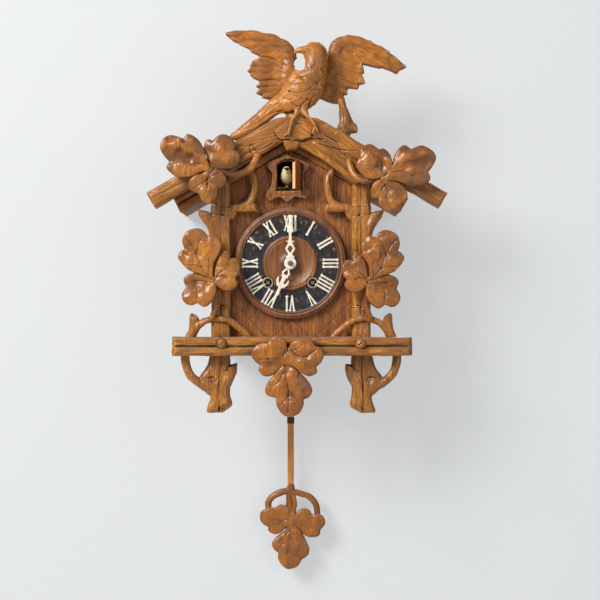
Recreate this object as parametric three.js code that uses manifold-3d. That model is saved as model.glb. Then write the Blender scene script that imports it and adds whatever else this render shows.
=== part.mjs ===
// Spring-driven railway-house cuckoo clock, carved in wood. Millimetres, +Z up, front towards -Y.
// The origin is on the wall plane, straight behind the axis of the hands.
import * as THREE from "three";
import { mergeVertices } from "three/addons/utils/BufferGeometryUtils.js";
import Module from "manifold-3d";

const wasm = await Module();
wasm.setup();

// ---------------------------------------------------------------- driving dimensions
const GAP = 0.3; // air between pieces that touch on the real clock
const DEG = Math.PI / 180;

const CASE_HALF_WIDTH = 91;
const CASE_BOTTOM = -104;
const BOARD = 8; // thickness of every case board
const BACK_PANEL_FRONT = -8;
const FRONT_BOARD_BACK = -95;
const FRONT_BOARD_FRONT = FRONT_BOARD_BACK - BOARD;

const ROOF_SLOPE = 30 * DEG;
const ROOF_PEAK = 137; // underside of the roof at the ridge
const ROOF_LENGTH = 152; // along the slope, ridge to eave
const ROOF_BOARD = 10;
const EAVE_LOG = 20; // height of the log carved on the roof's front edge
const EAVE_LOG_BACK = -93;
const EAVE_LOG_FRONT = -105;

const RAFTER_BACK = EAVE_LOG_FRONT - GAP;
const RAFTER_FRONT = -129;
const FRAME_BACK = FRONT_BOARD_FRONT - GAP;
const FRAME_FRONT = -121;
const BEAM_FRONT = -140;
const BEAM_TOP = -87.7;
const BEAM_BOTTOM = -109.6;

const DIAL_RADIUS = 67;
const RING_RADIUS = 58;
const BOSS_RADIUS = 32.5;
const KEY_X = 26.8; // winding holes, either side of the hands' axis
const KEY_Z = -23.2;

const PLATE_BACK_Y = -34; // inner face of the movement's back plate
const PLATE_FRONT_Y = -76; // inner face of its front plate
const PLATE = 2;
const PIVOT_Z = 51.4; // axis on which the anchor and the pendulum swing

const DOOR_HINGE = [13, -105.5];
const DOOR_WIDTH = 28;
const DOOR_BOTTOM = 88;
const DOOR_SIDE_TOP = 119;
const DOOR_PEAK = 124;
const DOOR_OPEN = 72 * DEG;
const BIRD_ARM_AXIS = [-62, -82];
const BIRD_ARM_Z = 92;
const CUCKOO_X = -4.5;

const HOUR_HAND_REST = 203 * DEG; // clockwise from twelve
const PENDULUM_Y = -18.2;

// ---------------------------------------------------------------- finishes
const FINISHES = {
  carvedWood: { color: 0xa9703c, roughness: 0.45, metalness: 0 },
  darkBoard: { color: 0x6b4427, roughness: 0.55, metalness: 0 },
  caseWood: { color: 0x8a6238, roughness: 0.7, metalness: 0 },
  dialWood: { color: 0x5d3b25, roughness: 0.35, metalness: 0 },
  bone: { color: 0xece4cf, roughness: 0.45, metalness: 0 },
  brass: { color: 0xb08d3c, roughness: 0.35, metalness: 0.9 },
  steel: { color: 0x8d8f93, roughness: 0.35, metalness: 0.9 },
  paleWood: { color: 0xc9a878, roughness: 0.7, metalness: 0 },
  bellowsPaper: { color: 0xd8cfb8, roughness: 0.85, metalness: 0 },
  birdPaint: { color: 0xd8cf9a, roughness: 0.6, metalness: 0 },
  beakPaint: { color: 0x3a2a20, roughness: 0.6, metalness: 0 },
};

const clock = new THREE.Group();

function add(name, geometry, finish, position = [0, 0, 0], rotation = [0, 0, 0]) {
  const mesh = new THREE.Mesh(weld(geometry), new THREE.MeshStandardMaterial(FINISHES[finish]));
  mesh.name = name;
  mesh.position.set(...position);
  mesh.rotation.set(...rotation);
  clock.add(mesh);
  return mesh;
}

// ---------------------------------------------------------------- geometry helpers
// Shared vertices merged, empty triangles dropped, faces turned outwards.
function weld(geometry) {
  const bare = geometry.clone();
  bare.deleteAttribute("normal");
  bare.deleteAttribute("uv");
  const merged = mergeVertices(bare, 1e-4);
  const source = merged.index.array;
  const corner = (i) => new THREE.Vector3().fromBufferAttribute(merged.attributes.position, i);
  const kept = [];
  let volume = 0;
  for (let i = 0; i < source.length; i += 3) {
    const [a, b, c] = source.slice(i, i + 3);
    if (a !== b && b !== c && c !== a) {
      kept.push(a, b, c);
      volume += corner(a).dot(corner(b).cross(corner(c)));
    }
  }
  merged.setIndex(volume < 0 ? kept.reverse() : kept);
  return merged;
}

function toSolid(geometry) {
  const { index, attributes } = weld(geometry);
  const vertProperties = new Float32Array(attributes.position.array);
  return new wasm.Manifold(
    new wasm.Mesh({ numProp: 3, vertProperties, triVerts: new Uint32Array(index.array) }),
  );
}

function toGeometry(solid) {
  const mesh = solid.getMesh();
  const geometry = new THREE.BufferGeometry();
  geometry.setAttribute("position", new THREE.BufferAttribute(mesh.vertProperties, 3));
  geometry.setIndex(new THREE.BufferAttribute(mesh.triVerts, 1));
  return geometry;
}

function join(...geometries) {
  return toGeometry(geometries.map(toSolid).reduce((whole, piece) => whole.add(piece)));
}

function cut(geometry, ...tools) {
  return toGeometry(tools.map(toSolid).reduce((whole, tool) => whole.subtract(tool), toSolid(geometry)));
}

// The outline runs anticlockwise and its holes clockwise, whichever way their points are listed.
function outlineShape(points, holes = []) {
  const wound = (loop, clockwise) => {
    const vectors = loop.map(([a, b]) => new THREE.Vector2(a, b));
    return THREE.ShapeUtils.isClockWise(vectors) === clockwise ? vectors : vectors.reverse();
  };
  const shape = new THREE.Shape(wound(points, false));
  shape.holes = holes.map((hole) => new THREE.Path(wound(hole, true)));
  return shape;
}

function extrude(points, depth, holes) {
  return new THREE.ExtrudeGeometry(outlineShape(points, holes), { depth, bevelEnabled: false });
}

// An outline in X and Z, from yBack forward to yFront.
function slabY(points, yBack, yFront, holes) {
  return extrude(points, yBack - yFront, holes).rotateX(Math.PI / 2).translate(0, yBack, 0);
}

// An outline in X and Y, from zLow up to zHigh.
function slabZ(points, zLow, zHigh, holes) {
  return extrude(points, zHigh - zLow, holes).translate(0, 0, zLow);
}

function box([x0, x1], [y0, y1], [z0, z1]) {
  const geometry = new THREE.BoxGeometry(x1 - x0, y1 - y0, z1 - z0);
  return geometry.translate((x0 + x1) / 2, (y0 + y1) / 2, (z0 + z1) / 2);
}

function circle(radius, sides, x = 0, z = 0) {
  return Array.from({ length: sides }, (_, i) => {
    const angle = (i * 2 * Math.PI) / sides;
    return [x + radius * Math.cos(angle), z + radius * Math.sin(angle)];
  });
}

function rodY(radius, yBack, yFront, sides = 12, x = 0, z = 0) {
  return slabY(circle(radius, sides, x, z), yBack, yFront);
}

function tube(points, radius, sides = 6, stepsPerPoint = 2) {
  const path = new THREE.CatmullRomCurve3(points.map((p) => new THREE.Vector3(...p)));
  const steps = stepsPerPoint * (points.length - 1);
  return new THREE.ExtrudeGeometry(outlineShape(circle(radius, sides)), {
    steps,
    extrudePath: path,
    bevelEnabled: false,
  });
}

// Turned about the Y axis; the profile is [radius, y].
function turned(profile, segments) {
  return new THREE.LatheGeometry(profile.map(([r, y]) => new THREE.Vector2(r, y)), segments);
}

function mirrored(points, side) {
  return points.map(([x, ...rest]) => [side * x, ...rest]);
}

// ---------------------------------------------------------------- case
function caseOutline() {
  const shoulder = ROOF_PEAK - CASE_HALF_WIDTH * Math.tan(ROOF_SLOPE) - GAP;
  return [
    [-CASE_HALF_WIDTH, CASE_BOTTOM],
    [CASE_HALF_WIDTH, CASE_BOTTOM],
    [CASE_HALF_WIDTH, shoulder],
    [0, ROOF_PEAK - GAP],
    [-CASE_HALF_WIDTH, shoulder],
  ];
}

function buildCase() {
  const birdOpening = [
    [-16, 87.6],
    [10.4, 87.6],
    [10.4, 118],
    [4.6, 121.8],
    [-2.8, 123.1],
    [-10.2, 121.8],
    [-16, 118],
  ];
  const keyHoles = [-1, 1].map((side) => circle(7, 12, side * KEY_X, KEY_Z));
  const frontHoles = [birdOpening, circle(8, 12), ...keyHoles];
  add("case_front", slabY(caseOutline(), FRONT_BOARD_BACK, FRONT_BOARD_FRONT, frontHoles), "darkBoard");

  const hangerPocket = box([-13, 13], [-2.3, 1], [86, 118]);
  const nailHole = rodY(8, 1, BACK_PANEL_FRONT - 1, 12, 0, 102);
  add("back_panel", cut(slabY(caseOutline(), 0, BACK_PANEL_FRONT), hangerPocket, nailHole), "caseWood");
  const keyhole = [
    [-4.5, 100],
    [-3.2, 96.8],
    [0, 95.5],
    [3.2, 96.8],
    [4.5, 100],
    [2.4, 104],
    [2.4, 111],
    [-2.4, 111],
    [-2.4, 104],
  ];
  const plate = [
    [-12.7, 86.3],
    [12.7, 86.3],
    [12.7, 117.7],
    [-12.7, 117.7],
  ];
  add("hanger_plate", slabY(plate, -0.5, -2, [keyhole]), "steel");

  const inner = CASE_HALF_WIDTH - BOARD;
  const roofAt = (x) => ROOF_PEAK - x * Math.tan(ROOF_SLOPE) - GAP;
  const depth = [BACK_PANEL_FRONT - GAP, FRONT_BOARD_BACK + GAP];
  for (const [name, side] of [["left", -1], ["right", 1]]) {
    const profile = [
      [inner, CASE_BOTTOM],
      [CASE_HALF_WIDTH, CASE_BOTTOM],
      [CASE_HALF_WIDTH, roofAt(CASE_HALF_WIDTH)],
      [inner, roofAt(inner)],
    ];
    const board = slabY(mirrored(profile, side), ...depth);
    const through = [side * inner - 3, side * CASE_HALF_WIDTH + 3].sort((a, b) => a - b);
    const wide = [Math.min(...through) - 3, Math.max(...through) + 3];
    const opening = side > 0 ? box(wide, [-80, -25], [-60, 30]) : box(wide, [-56, -42], [-20, 20]);
    add(`case_side_${name}`, cut(board, opening), "caseWood");
  }
  add("side_door_right", box([83.5, CASE_HALF_WIDTH], [-79.5, -25.5], [-59.5, 29.5]), "caseWood");

  const floor = [
    [-inner + GAP, depth[0]],
    [inner - GAP, depth[0]],
    [inner - GAP, depth[1]],
    [-inner + GAP, depth[1]],
  ];
  const pendulumSlot = [
    [-20, -12],
    [20, -12],
    [20, -25],
    [-20, -25],
  ];
  add("case_floor", slabZ(floor, CASE_BOTTOM, CASE_BOTTOM + BOARD, [pendulumSlot]), "caseWood");
}

function roofBoard(thickness) {
  const start = [GAP / 2, ROOF_PEAK];
  const along = [Math.cos(ROOF_SLOPE), -Math.sin(ROOF_SLOPE)];
  const up = [Math.sin(ROOF_SLOPE), Math.cos(ROOF_SLOPE)];
  const eave = [start[0] + ROOF_LENGTH * along[0], start[1] + ROOF_LENGTH * along[1]];
  return [
    start,
    eave,
    [eave[0] + thickness * up[0], eave[1] + thickness * up[1]],
    [start[0], start[1] + thickness / Math.cos(ROOF_SLOPE)],
  ];
}

function buildRoof() {
  for (const [name, side] of [["left", -1], ["right", 1]]) {
    const board = slabY(mirrored(roofBoard(ROOF_BOARD), side), 0, EAVE_LOG_BACK - 1);
    const log = slabY(mirrored(roofBoard(EAVE_LOG), side), EAVE_LOG_BACK, EAVE_LOG_FRONT);
    add(`roof_${name}`, join(board, log), "carvedWood");
  }

  // The two front logs meet on a plumb joint right of centre, under the standing bird.
  const joint = 8;
  const left = [
    [-171.6, 83.4],
    [-160.6, 64.6],
    [-20, 146.5],
    [-18, 139],
    [-6, 133.5],
    [joint - GAP / 2, 134],
    [joint - GAP / 2, 174],
    [-8, 173.5],
    [-22, 170.5],
  ];
  const right = [
    [188.9, 70.7],
    [31, 173],
    [20, 174],
    [joint + GAP / 2, 174],
    [joint + GAP / 2, 134],
    [12, 137],
    [18, 153],
    [28, 150],
    [179.7, 53.1],
  ];
  add("rafter_left", slabY(left, RAFTER_BACK, RAFTER_FRONT), "carvedWood");
  add("rafter_right", slabY(right, RAFTER_BACK, RAFTER_FRONT), "carvedWood");
}

// ---------------------------------------------------------------- carved front
const SCREWS = { left: [-80.8, -94.9], right: [83, -95.1] };
const SCREW_HOLE = 3.3;
const FRAME_COLUMNS = { left: -82.9, right: 84.5 };

// A column of two stems with a crescent branch, an arch over the beam and a loop under it.
// Offsets run from the column's centre towards the middle of the clock.
function branchFrame(name) {
  const side = name === "left" ? 1 : -1;
  const x = (offset) => FRAME_COLUMNS[name] + side * offset;
  const y = -112;
  const column = [
    [x(-10.7), 75.7],
    [x(10.7), 75.7],
    [x(9.5), 10],
    [x(10.7), -120],
    [x(9.5), -150],
    [x(13.5), -178],
    [x(3), -172],
    [x(-15), -178.5],
    [x(-10), -150],
    [x(-10.7), -100],
    [x(-9.5), 10],
  ];
  const branch = (points, radius) => tube(points.map(([offset, z]) => [x(offset), y, z]), radius);
  const crescent = branch([[2, 55], [20, 62], [33, 71], [42, 95], [37, 110.4]], 4.5);
  const crescentStub = branch([[24, 64], [41, 66]], 3.5);
  const arch = branch([[-38.2, -85.5], [-32, -72], [-16, -63], [0, -60.5], [20, -67], [35.5, -84.5]], 4);
  const archStub = branch([[-30, -70], [-32, -60]], 3.2);
  const loop = branch([[-43, -111], [-43, -128], [-34, -143], [-17, -147], [-2, -140]], 4.8);
  const outerStub = branch([[-4, 42], [-14, 47], [-25, 62]], 4);
  const innerStub = branch([[4, -128], [20, -121]], 4);
  const [sx, sz] = SCREWS[name];
  const hole = rodY(SCREW_HOLE, -108, FRAME_FRONT - 1, 10, sx, sz);
  const solid = join(slabY(column, FRAME_BACK, FRAME_FRONT + 2), crescent, crescentStub, arch, archStub,
    loop, outerStub, innerStub);
  return cut(solid, hole);
}

function buildCarvedFrame() {
  add("branch_frame_left", branchFrame("left"), "carvedWood");
  add("branch_frame_right", branchFrame("right"), "carvedWood");

  const chamfer = 3;
  const [x0, x1] = [-139.9, 144.2];
  const beam = [
    [x0, BEAM_BOTTOM + chamfer],
    [x0 + chamfer, BEAM_BOTTOM],
    [x1 - chamfer, BEAM_BOTTOM],
    [x1, BEAM_BOTTOM + chamfer],
    [x1, BEAM_TOP - chamfer],
    [x1 - chamfer, BEAM_TOP],
    [x0 + chamfer, BEAM_TOP],
    [x0, BEAM_TOP - chamfer],
  ];
  const holes = Object.values(SCREWS).map(([x, z]) => circle(SCREW_HOLE, 10, x, z));
  add("bottom_beam", slabY(beam, FRAME_FRONT - GAP, BEAM_FRONT, holes), "carvedWood");

  for (const [name, [x, z]] of Object.entries(SCREWS)) {
    const headBack = BEAM_FRONT - GAP;
    const head = turned([[0, headBack], [6.2, headBack], [5.6, headBack - 2], [3, headBack - 3.2],
      [0, headBack - 3.6]], 14);
    const shank = rodY(3, -110, headBack - 0.5, 8);
    const slot = box([-7, 7], [headBack - 5, headBack - 1.8], [-0.7, 0.7]);
    add(`beam_screw_${name}`, cut(join(head, shank), slot), "carvedWood", [x, 0, z], [0, 40 * DEG, 0]);
  }
}

// A leaf inside an ellipse: full round lobes with narrow notches between them.
function leaf([cx, cz], [rx, rz], lobes, turn = 0) {
  const steps = lobes * 8;
  const notch = 0.72;
  return Array.from({ length: steps }, (_, i) => {
    const angle = turn + (i * 2 * Math.PI) / steps;
    const reach = notch + (1 - notch) * Math.abs(Math.cos((lobes * (angle - turn)) / 2)) ** 0.6;
    return [cx + rx * reach * Math.cos(angle), cz + rz * reach * Math.sin(angle)];
  });
}

// Leaves carved from one block: their midribs run together into the last point of the stem.
function leafGroup(leaves, stem, stemRadius, yBack, yFront) {
  const blades = leaves.map(([centre, radii, lobes, turn]) =>
    slabY(leaf(centre, radii, lobes, turn), yBack, yFront));
  const middle = (yBack + yFront) / 2;
  const [jx, , jz] = stem[stem.length - 1];
  const ribs = leaves.map(([[x, z]]) => tube([[jx, middle, jz], [x, middle, z]], 4));
  return join(...blades, ...ribs, tube(stem, stemRadius));
}

function buildLeaves() {
  const eaveBack = RAFTER_FRONT - GAP;
  const eaveLeft = leafGroup(
    [
      [[-128.5, 126.5], [26, 26.5], 5, 0.4],
      [[-81, 131], [23, 22.5], 4, 0.8],
      [[-98, 90], [23.5, 21], 5, 1.6],
    ],
    [[-40, -117, 126], [-63, -117, 100], [-75, -122, 99], [-84, -135, 101], [-86, -138, 110]],
    3.5, eaveBack, -148);
  add("eave_leaves_left", eaveLeft, "carvedWood");
  const eaveRight = leafGroup(
    [
      [[140.5, 116], [32.5, 25], 5, 2.6],
      [[100, 120], [21.5, 22], 4, 0.8],
      [[116.5, 78.5], [22.5, 20], 5, 1.6],
    ],
    [[68, -117, 108], [82, -117, 90], [92, -123, 86], [102, -135, 90], [106, -138, 98]],
    3.5, eaveBack, -148);
  add("eave_leaves_right", eaveRight, "carvedWood");

  const sideBack = FRAME_FRONT - GAP;
  for (const [name, side] of [["left", -1], ["right", 1]]) {
    const leaves = [
      [[side * 106, 12], [27, 29.5], 5, Math.PI / 2],
      [[side * 75, -9], [15.8, 24], 3, side > 0 ? Math.PI : 0],
      [[side * 109, -31.5], [21, 21], 5, -Math.PI / 2],
    ];
    const stem = [[side * 88, -124, -62], [side * 90, -126, -45], [side * 92, -128, -24]];
    add(`side_leaves_${name}`, leafGroup(leaves, stem, 2.5, sideBack, -140), "carvedWood");
  }

  const bottom = leafGroup(
    [
      [[-24.5, -104], [21, 19.5], 4, 0.4],
      [[19, -104], [20.5, 19.5], 4, 1.2],
      [[-3, -147], [24, 35.5], 3, -Math.PI / 2],
    ],
    [[-6, -148, -104], [-5, -148, -122], [-4, -148, -140]],
    4, BEAM_FRONT - GAP, -156);
  add("bottom_leaves", bottom, "carvedWood");
}

// ---------------------------------------------------------------- ornament on the ridge
function buildOrnament() {
  const body = [
    [5.2, 250.5],
    [17, 254],
    [20, 261],
    [28, 264],
    [37, 260],
    [42, 248],
    [46, 239],
    [44, 220],
    [38, 201],
    [20, 178.5],
    [-5, 174.8],
    [-11, 177.5],
    [-30.7, 167.4],
    [-66, 149],
    [-70.2, 152],
    [-40, 177],
    [-24, 193],
    [-16, 210],
    [-2, 226],
    [12, 232],
    [16, 244],
  ];
  const leftFoot = tube([[6, -133, 184], [6, -133.5, 168], [-2, -133.5, 153]], 3);
  const rightFoot = tube([[18, -133, 186], [18, -133.5, 172], [32, -133.5, 157]], 3);
  add("bird_body", join(slabY(body, -106, -135), leftFoot, rightFoot), "carvedWood");

  const leftWing = [
    [-77.1, 276.7],
    [-72, 270.6],
    [-47.4, 255.8],
    [-36.8, 248.6],
    [-47.4, 241.5],
    [-51.7, 231.9],
    [-37.4, 215.8],
    [-41.3, 204.4],
    [-32.9, 199.1],
    [-10, 197],
    [4, 222],
    [4.5, 252],
    [-7.5, 266.5],
    [-23, 273.7],
    [-45.7, 278.5],
  ];
  const rightWing = [
    [36.4, 197.5],
    [54.6, 193],
    [64.6, 196.1],
    [67.7, 202.9],
    [80.6, 210.4],
    [89.7, 215.8],
    [89, 228.7],
    [86.8, 237.9],
    [110.7, 234.3],
    [128.6, 228.7],
    [137.7, 236.3],
    [121.4, 249.3],
    [98.8, 263],
    [74.5, 271.3],
    [59.4, 270.6],
    [49.8, 263],
    [40, 243.3],
    [26, 215],
  ];
  add("bird_wing_left", slabY(leftWing, -92, -106 + GAP), "carvedWood");
  add("bird_wing_right", slabY(rightWing, -92, -106 + GAP), "carvedWood");

  const stump = [
    [50, 161.8],
    [80, 142.4],
    [80, 155],
    [72, 166],
    [65, 172],
    [64, 192.4],
    [57, 192.4],
    [56, 167],
  ];
  add("wing_stump", slabY(stump, -108, -124), "carvedWood");
}

// ---------------------------------------------------------------- bird door, cuckoo and arm
function buildBirdDoor() {
  const middle = -2.8;
  const rightHalf = [
    [2.8, 80],
    [middle + 20, 76],
    [middle + 26, 82.5],
    [middle + 21.5, 92],
    [middle + 21.5, 108],
    [middle + 25.5, 119],
    [middle + 21.5, 122],
    [middle + 15, 124.9],
  ];
  const leftHalf = rightHalf.map(([x, z]) => [2 * middle - x, z]).reverse();
  const outline = [[middle, 73.8], ...rightHalf, [middle, 131], ...leftHalf];
  const opening = [
    [-16.8, 86.5],
    [15, 86.5],
    [15, 120.5],
    [6, 124.5],
    [middle, 125.5],
    [-11.6, 124.5],
    [-16.8, 120.5],
  ];
  add("door_surround", slabY(outline, FRAME_BACK, -113, [opening]), "carvedWood");

  // The leaf, drawn closed, with the hinge axis at x = 0; it stands open at rest.
  const leafPoints = [
    [-DOOR_WIDTH - 0.2, DOOR_BOTTOM],
    [-0.5, DOOR_BOTTOM],
    [-0.5, DOOR_SIDE_TOP],
    [-DOOR_WIDTH / 2, DOOR_PEAK],
    [-DOOR_WIDTH - 0.2, DOOR_SIDE_TOP],
  ];
  const [hx, hy] = DOOR_HINGE;
  add("bird_door", slabY(leafPoints, 1.5, -1.5), "carvedWood", [hx, hy, 0], [0, 0, DOOR_OPEN]);

  const [ax, ay] = BIRD_ARM_AXIS;
  const bracket = [
    [-82.7, -86],
    [-56, -86],
    [-56, -78],
    [-82.7, -78],
  ];
  add("bird_bracket", slabZ(bracket, 68, 76, [circle(1.7, 8, ax, ay)]), "brass");
  const wire = 1.3;
  const post = slabZ(circle(wire, 8, ax, ay), 64, BIRD_ARM_Z + wire);
  const collar = slabZ(circle(3, 8, ax, ay), 76 + GAP, 80);
  const reach = box([ax, CUCKOO_X + wire], [ay - wire, ay + wire], [BIRD_ARM_Z - wire, BIRD_ARM_Z + wire]);
  const forward = box([CUCKOO_X - wire, CUCKOO_X + wire], [-104, ay], [BIRD_ARM_Z - wire, BIRD_ARM_Z + wire]);
  const rise = box([CUCKOO_X - wire, CUCKOO_X + wire], [-100, -97], [BIRD_ARM_Z, 95]);
  add("bird_arm", join(post, collar, reach, forward, rise), "brass");

  const torso = new THREE.SphereGeometry(1, 10, 7).scale(5.6, 13, 7.5).rotateX(-18 * DEG)
    .translate(CUCKOO_X, -98, 104);
  const head = new THREE.SphereGeometry(4.8, 10, 7).translate(CUCKOO_X, -108, 111.5);
  const upperBeak = new THREE.ConeGeometry(1.8, 8, 6).rotateX(Math.PI).translate(CUCKOO_X, -115.5, 112.5);
  const tail = box([CUCKOO_X - 3, CUCKOO_X + 3], [-92, -78], [97.5, 100]);
  add("cuckoo", cut(join(torso, head, upperBeak, tail),
    box([CUCKOO_X - 3, CUCKOO_X + 3], [-122, -111.5], [106, 110.5])), "birdPaint");
  const lowerBeak = new THREE.ConeGeometry(1.4, 6, 6).rotateX(192 * DEG).translate(CUCKOO_X, -115.2, 108.3);
  add("cuckoo_beak", lowerBeak, "beakPaint");
}

// ---------------------------------------------------------------- dial and hands
function buildDial() {
  const back = FRAME_BACK;
  const floor = -108.5;
  const profile = [
    [4.2, back],
    [DIAL_RADIUS, back],
    [DIAL_RADIUS, -107],
    [DIAL_RADIUS - 4, -111.5],
    [RING_RADIUS + 1.5, -112],
    [RING_RADIUS, floor],
    [BOSS_RADIUS + 0.5, floor],
    [BOSS_RADIUS - 1, -111],
    [BOSS_RADIUS - 3.7, -111],
    [24, -107.5],
    [4.2, -107.5],
    [4.2, back],
  ];
  const plate = turned(profile, 32);
  const bores = [-1, 1].map((side) => rodY(7.2, -100, -115, 14, side * KEY_X, KEY_Z));
  add("dial_plate", cut(plate, ...bores), "dialWood");
  for (const [name, side] of [["left", -1], ["right", 1]]) {
    const ring = slabY(circle(6.9, 14), -104, -110.2, [circle(4.7, 14)]);
    add(`winding_grommet_${name}`, ring, "bone", [side * KEY_X, 0, KEY_Z]);
  }
}

// A pierced bone hand pointing up: a hub, an open lozenge, a barbed spear.
function hand(length, hub, yBack, yFront) {
  const lozenge = 0.4 * length;
  const barb = 0.66 * length;
  const half = [
    [0.55 * hub, 0.9 * hub],
    [1.6, 1.2 * hub],
    [0.085 * length, (1.2 * hub + lozenge) / 2],
    [1.4, lozenge],
    [1.4, barb - 3],
    [4.6, barb + 1],
    [1.3, barb + 3],
    [0.5, length],
  ];
  const other = half.map(([x, z]) => [-x, z]).reverse();
  const window = [
    [0, 1.2 * hub + 2],
    [0.085 * length - 2, (1.2 * hub + lozenge) / 2],
    [0, lozenge - 2],
    [2 - 0.085 * length, (1.2 * hub + lozenge) / 2],
  ];
  const spear = slabY([[0, 0], ...half, ...other], yBack, yFront, [window]);
  const disc = rodY(hub, yBack, yFront, 16);
  return cut(join(spear, disc), rodY(2.5, yBack + 1, yFront - 1, 10));
}

function buildHands() {
  const pipe = slabY(circle(3.7, 12), -96, -114, [circle(2.5, 10)]);
  const hourHand = join(hand(41.2, 7.6, -113.5, -115), pipe);
  add("hour_hand", hourHand, "bone", [0, 0, 0], [0, HOUR_HAND_REST, 0]);
  add("minute_hand", hand(58.3, 6, -116, -117.5), "bone");
  add("hand_nut", slabY(circle(3.2, 6), -117.8, -120.5, [circle(2.5, 10)]), "brass");
}

// ---------------------------------------------------------------- movement
const MESH = { wheelTip: 0.8, wheelRoot: 0.9, wheelLand: 0.3, leafTip: 0.3, leafRoot: 1.2, leafLand: 0.4,
  leafGap: 1.2 };
const TRAINS = {
  great: { wheel: 48, pinion: 8, module: 1.266 },
  centre: { wheel: 57, pinion: 6, module: 0.9143 },
  third: { wheel: 60, pinion: 6, module: 0.7515 },
  strike: { wheel: 40, pinion: 8, module: 0.8 },
};
const ARBORS = {
  barrelTime: [KEY_X, KEY_Z],
  barrelStrike: [-KEY_X, KEY_Z],
  centre: [0, 0],
  third: [20, 20.72],
  escape: [0, 35.38],
  anchor: [0, PIVOT_Z],
  strike: [-42, 8.8],
  fly: [-30, 23.8],
  hammer: [-46, 36],
};

function polar(radius, angle) {
  return [radius * Math.cos(angle), radius * Math.sin(angle)];
}

// Pointed-valley teeth; one tooth is centred on the angle `phase`.
function wheelTeeth({ wheel, module: size }, phase) {
  const pitch = (2 * Math.PI) / wheel;
  const radius = (wheel * size) / 2;
  const tip = radius + MESH.wheelTip * size;
  const half = (MESH.wheelLand * size) / 2 / tip;
  return Array.from({ length: wheel }, (_, i) => {
    const angle = phase + i * pitch;
    return [polar(radius - MESH.wheelRoot * size, angle - pitch / 2), polar(tip, angle - half),
      polar(tip, angle + half)];
  }).flat();
}

// Short leaves with wide gaps; one gap is centred on the angle `phase`.
function pinionLeaves({ pinion, module: size }, phase) {
  const pitch = (2 * Math.PI) / pinion;
  const radius = (pinion * size) / 2;
  const tip = radius + MESH.leafTip * size;
  const root = radius - MESH.leafRoot * size;
  const halfTip = (MESH.leafLand * size) / 2 / tip;
  const halfGap = (MESH.leafGap * size) / 2 / root;
  return Array.from({ length: pinion }, (_, i) => {
    const angle = phase + (i + 0.5) * pitch;
    return [polar(root, angle - pitch / 2 + halfGap), polar(tip, angle - halfTip), polar(tip, angle + halfTip),
      polar(root, angle + pitch / 2 - halfGap)];
  }).flat();
}

function bearing(from, to) {
  return Math.atan2(to[1] - from[1], to[0] - from[0]);
}

// The thin shaft of a wheel, with a pivot at each end that runs in the plates.
function arbor(radius) {
  const shaft = rodY(radius, PLATE_BACK_Y - GAP, PLATE_FRONT_Y + GAP, 8);
  return join(shaft, rodY(1, PLATE_BACK_Y + PLATE, PLATE_FRONT_Y - PLATE, 6));
}

function place([x, z]) {
  return [x, 0, z];
}

function buildPlates() {
  const outline = [
    [-54, -57],
    [54, -57],
    [54, 66],
    [-54, 66],
  ];
  const pivots = ["third", "escape", "strike", "fly"].map((key) => circle(1.5, 8, ...ARBORS[key]));
  const corners = [[-49, -52], [49, -52], [-46, 59], [46, 59]];
  const backHoles = [...pivots, circle(2, 8, ...ARBORS.anchor), circle(2, 8, ...ARBORS.hammer),
    circle(1.5, 8)];
  const frontHoles = [...pivots, circle(1.5, 8, ...ARBORS.anchor), circle(1.5, 8, ...ARBORS.hammer),
    circle(4.5, 10), ...[-1, 1].map((side) => circle(3, 10, side * KEY_X, KEY_Z))];
  const pillars = corners.map(([x, z]) => rodY(3.5, PLATE_BACK_Y + 1, PLATE_FRONT_Y + GAP, 8, x, z));
  const arm = box([-4, 4], [PLATE_BACK_Y + 1, -13], [60, 63]);
  const drop = box([-4, 4], [-15, -13], [48, 63]);
  const stud = rodY(1.5, -14, -22, 8, 0, PIVOT_Z);
  const backSlab = slabY(outline, PLATE_BACK_Y + PLATE, PLATE_BACK_Y, backHoles);
  add("plate_back", join(backSlab, ...pillars, arm, drop, stud), "brass");
  add("plate_front", slabY(outline, PLATE_FRONT_Y, PLATE_FRONT_Y - PLATE, frontHoles), "brass");
}

function buildBarrels() {
  const bore = circle(2.6, 8);
  for (const [name, key, partner, wheelBack, drum] of [
    ["time", "barrelTime", "centre", -69, [-50, -69.5]],
    ["strike", "barrelStrike", "strike", -44, [-45.5, -65]],
  ]) {
    const teeth = wheelTeeth(TRAINS.great, bearing(ARBORS[key], ARBORS[partner]));
    const wheel = slabY(teeth, wheelBack, wheelBack - 2, [bore]);
    const shell = slabY(circle(20, 20), ...drum, [bore]);
    add(`barrel_${name}`, join(wheel, shell), "brass", place(ARBORS[key]));
    const square = slabY(circle(3, 4), PLATE_FRONT_Y - PLATE, -107.5);
    const shaft = rodY(2.3, PLATE_BACK_Y - GAP, PLATE_FRONT_Y - PLATE - 0.5, 8);
    add(`arbor_${name}`, join(shaft, square), "steel", place(ARBORS[key]), [0, 45 * DEG, 0]);
  }
}

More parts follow.
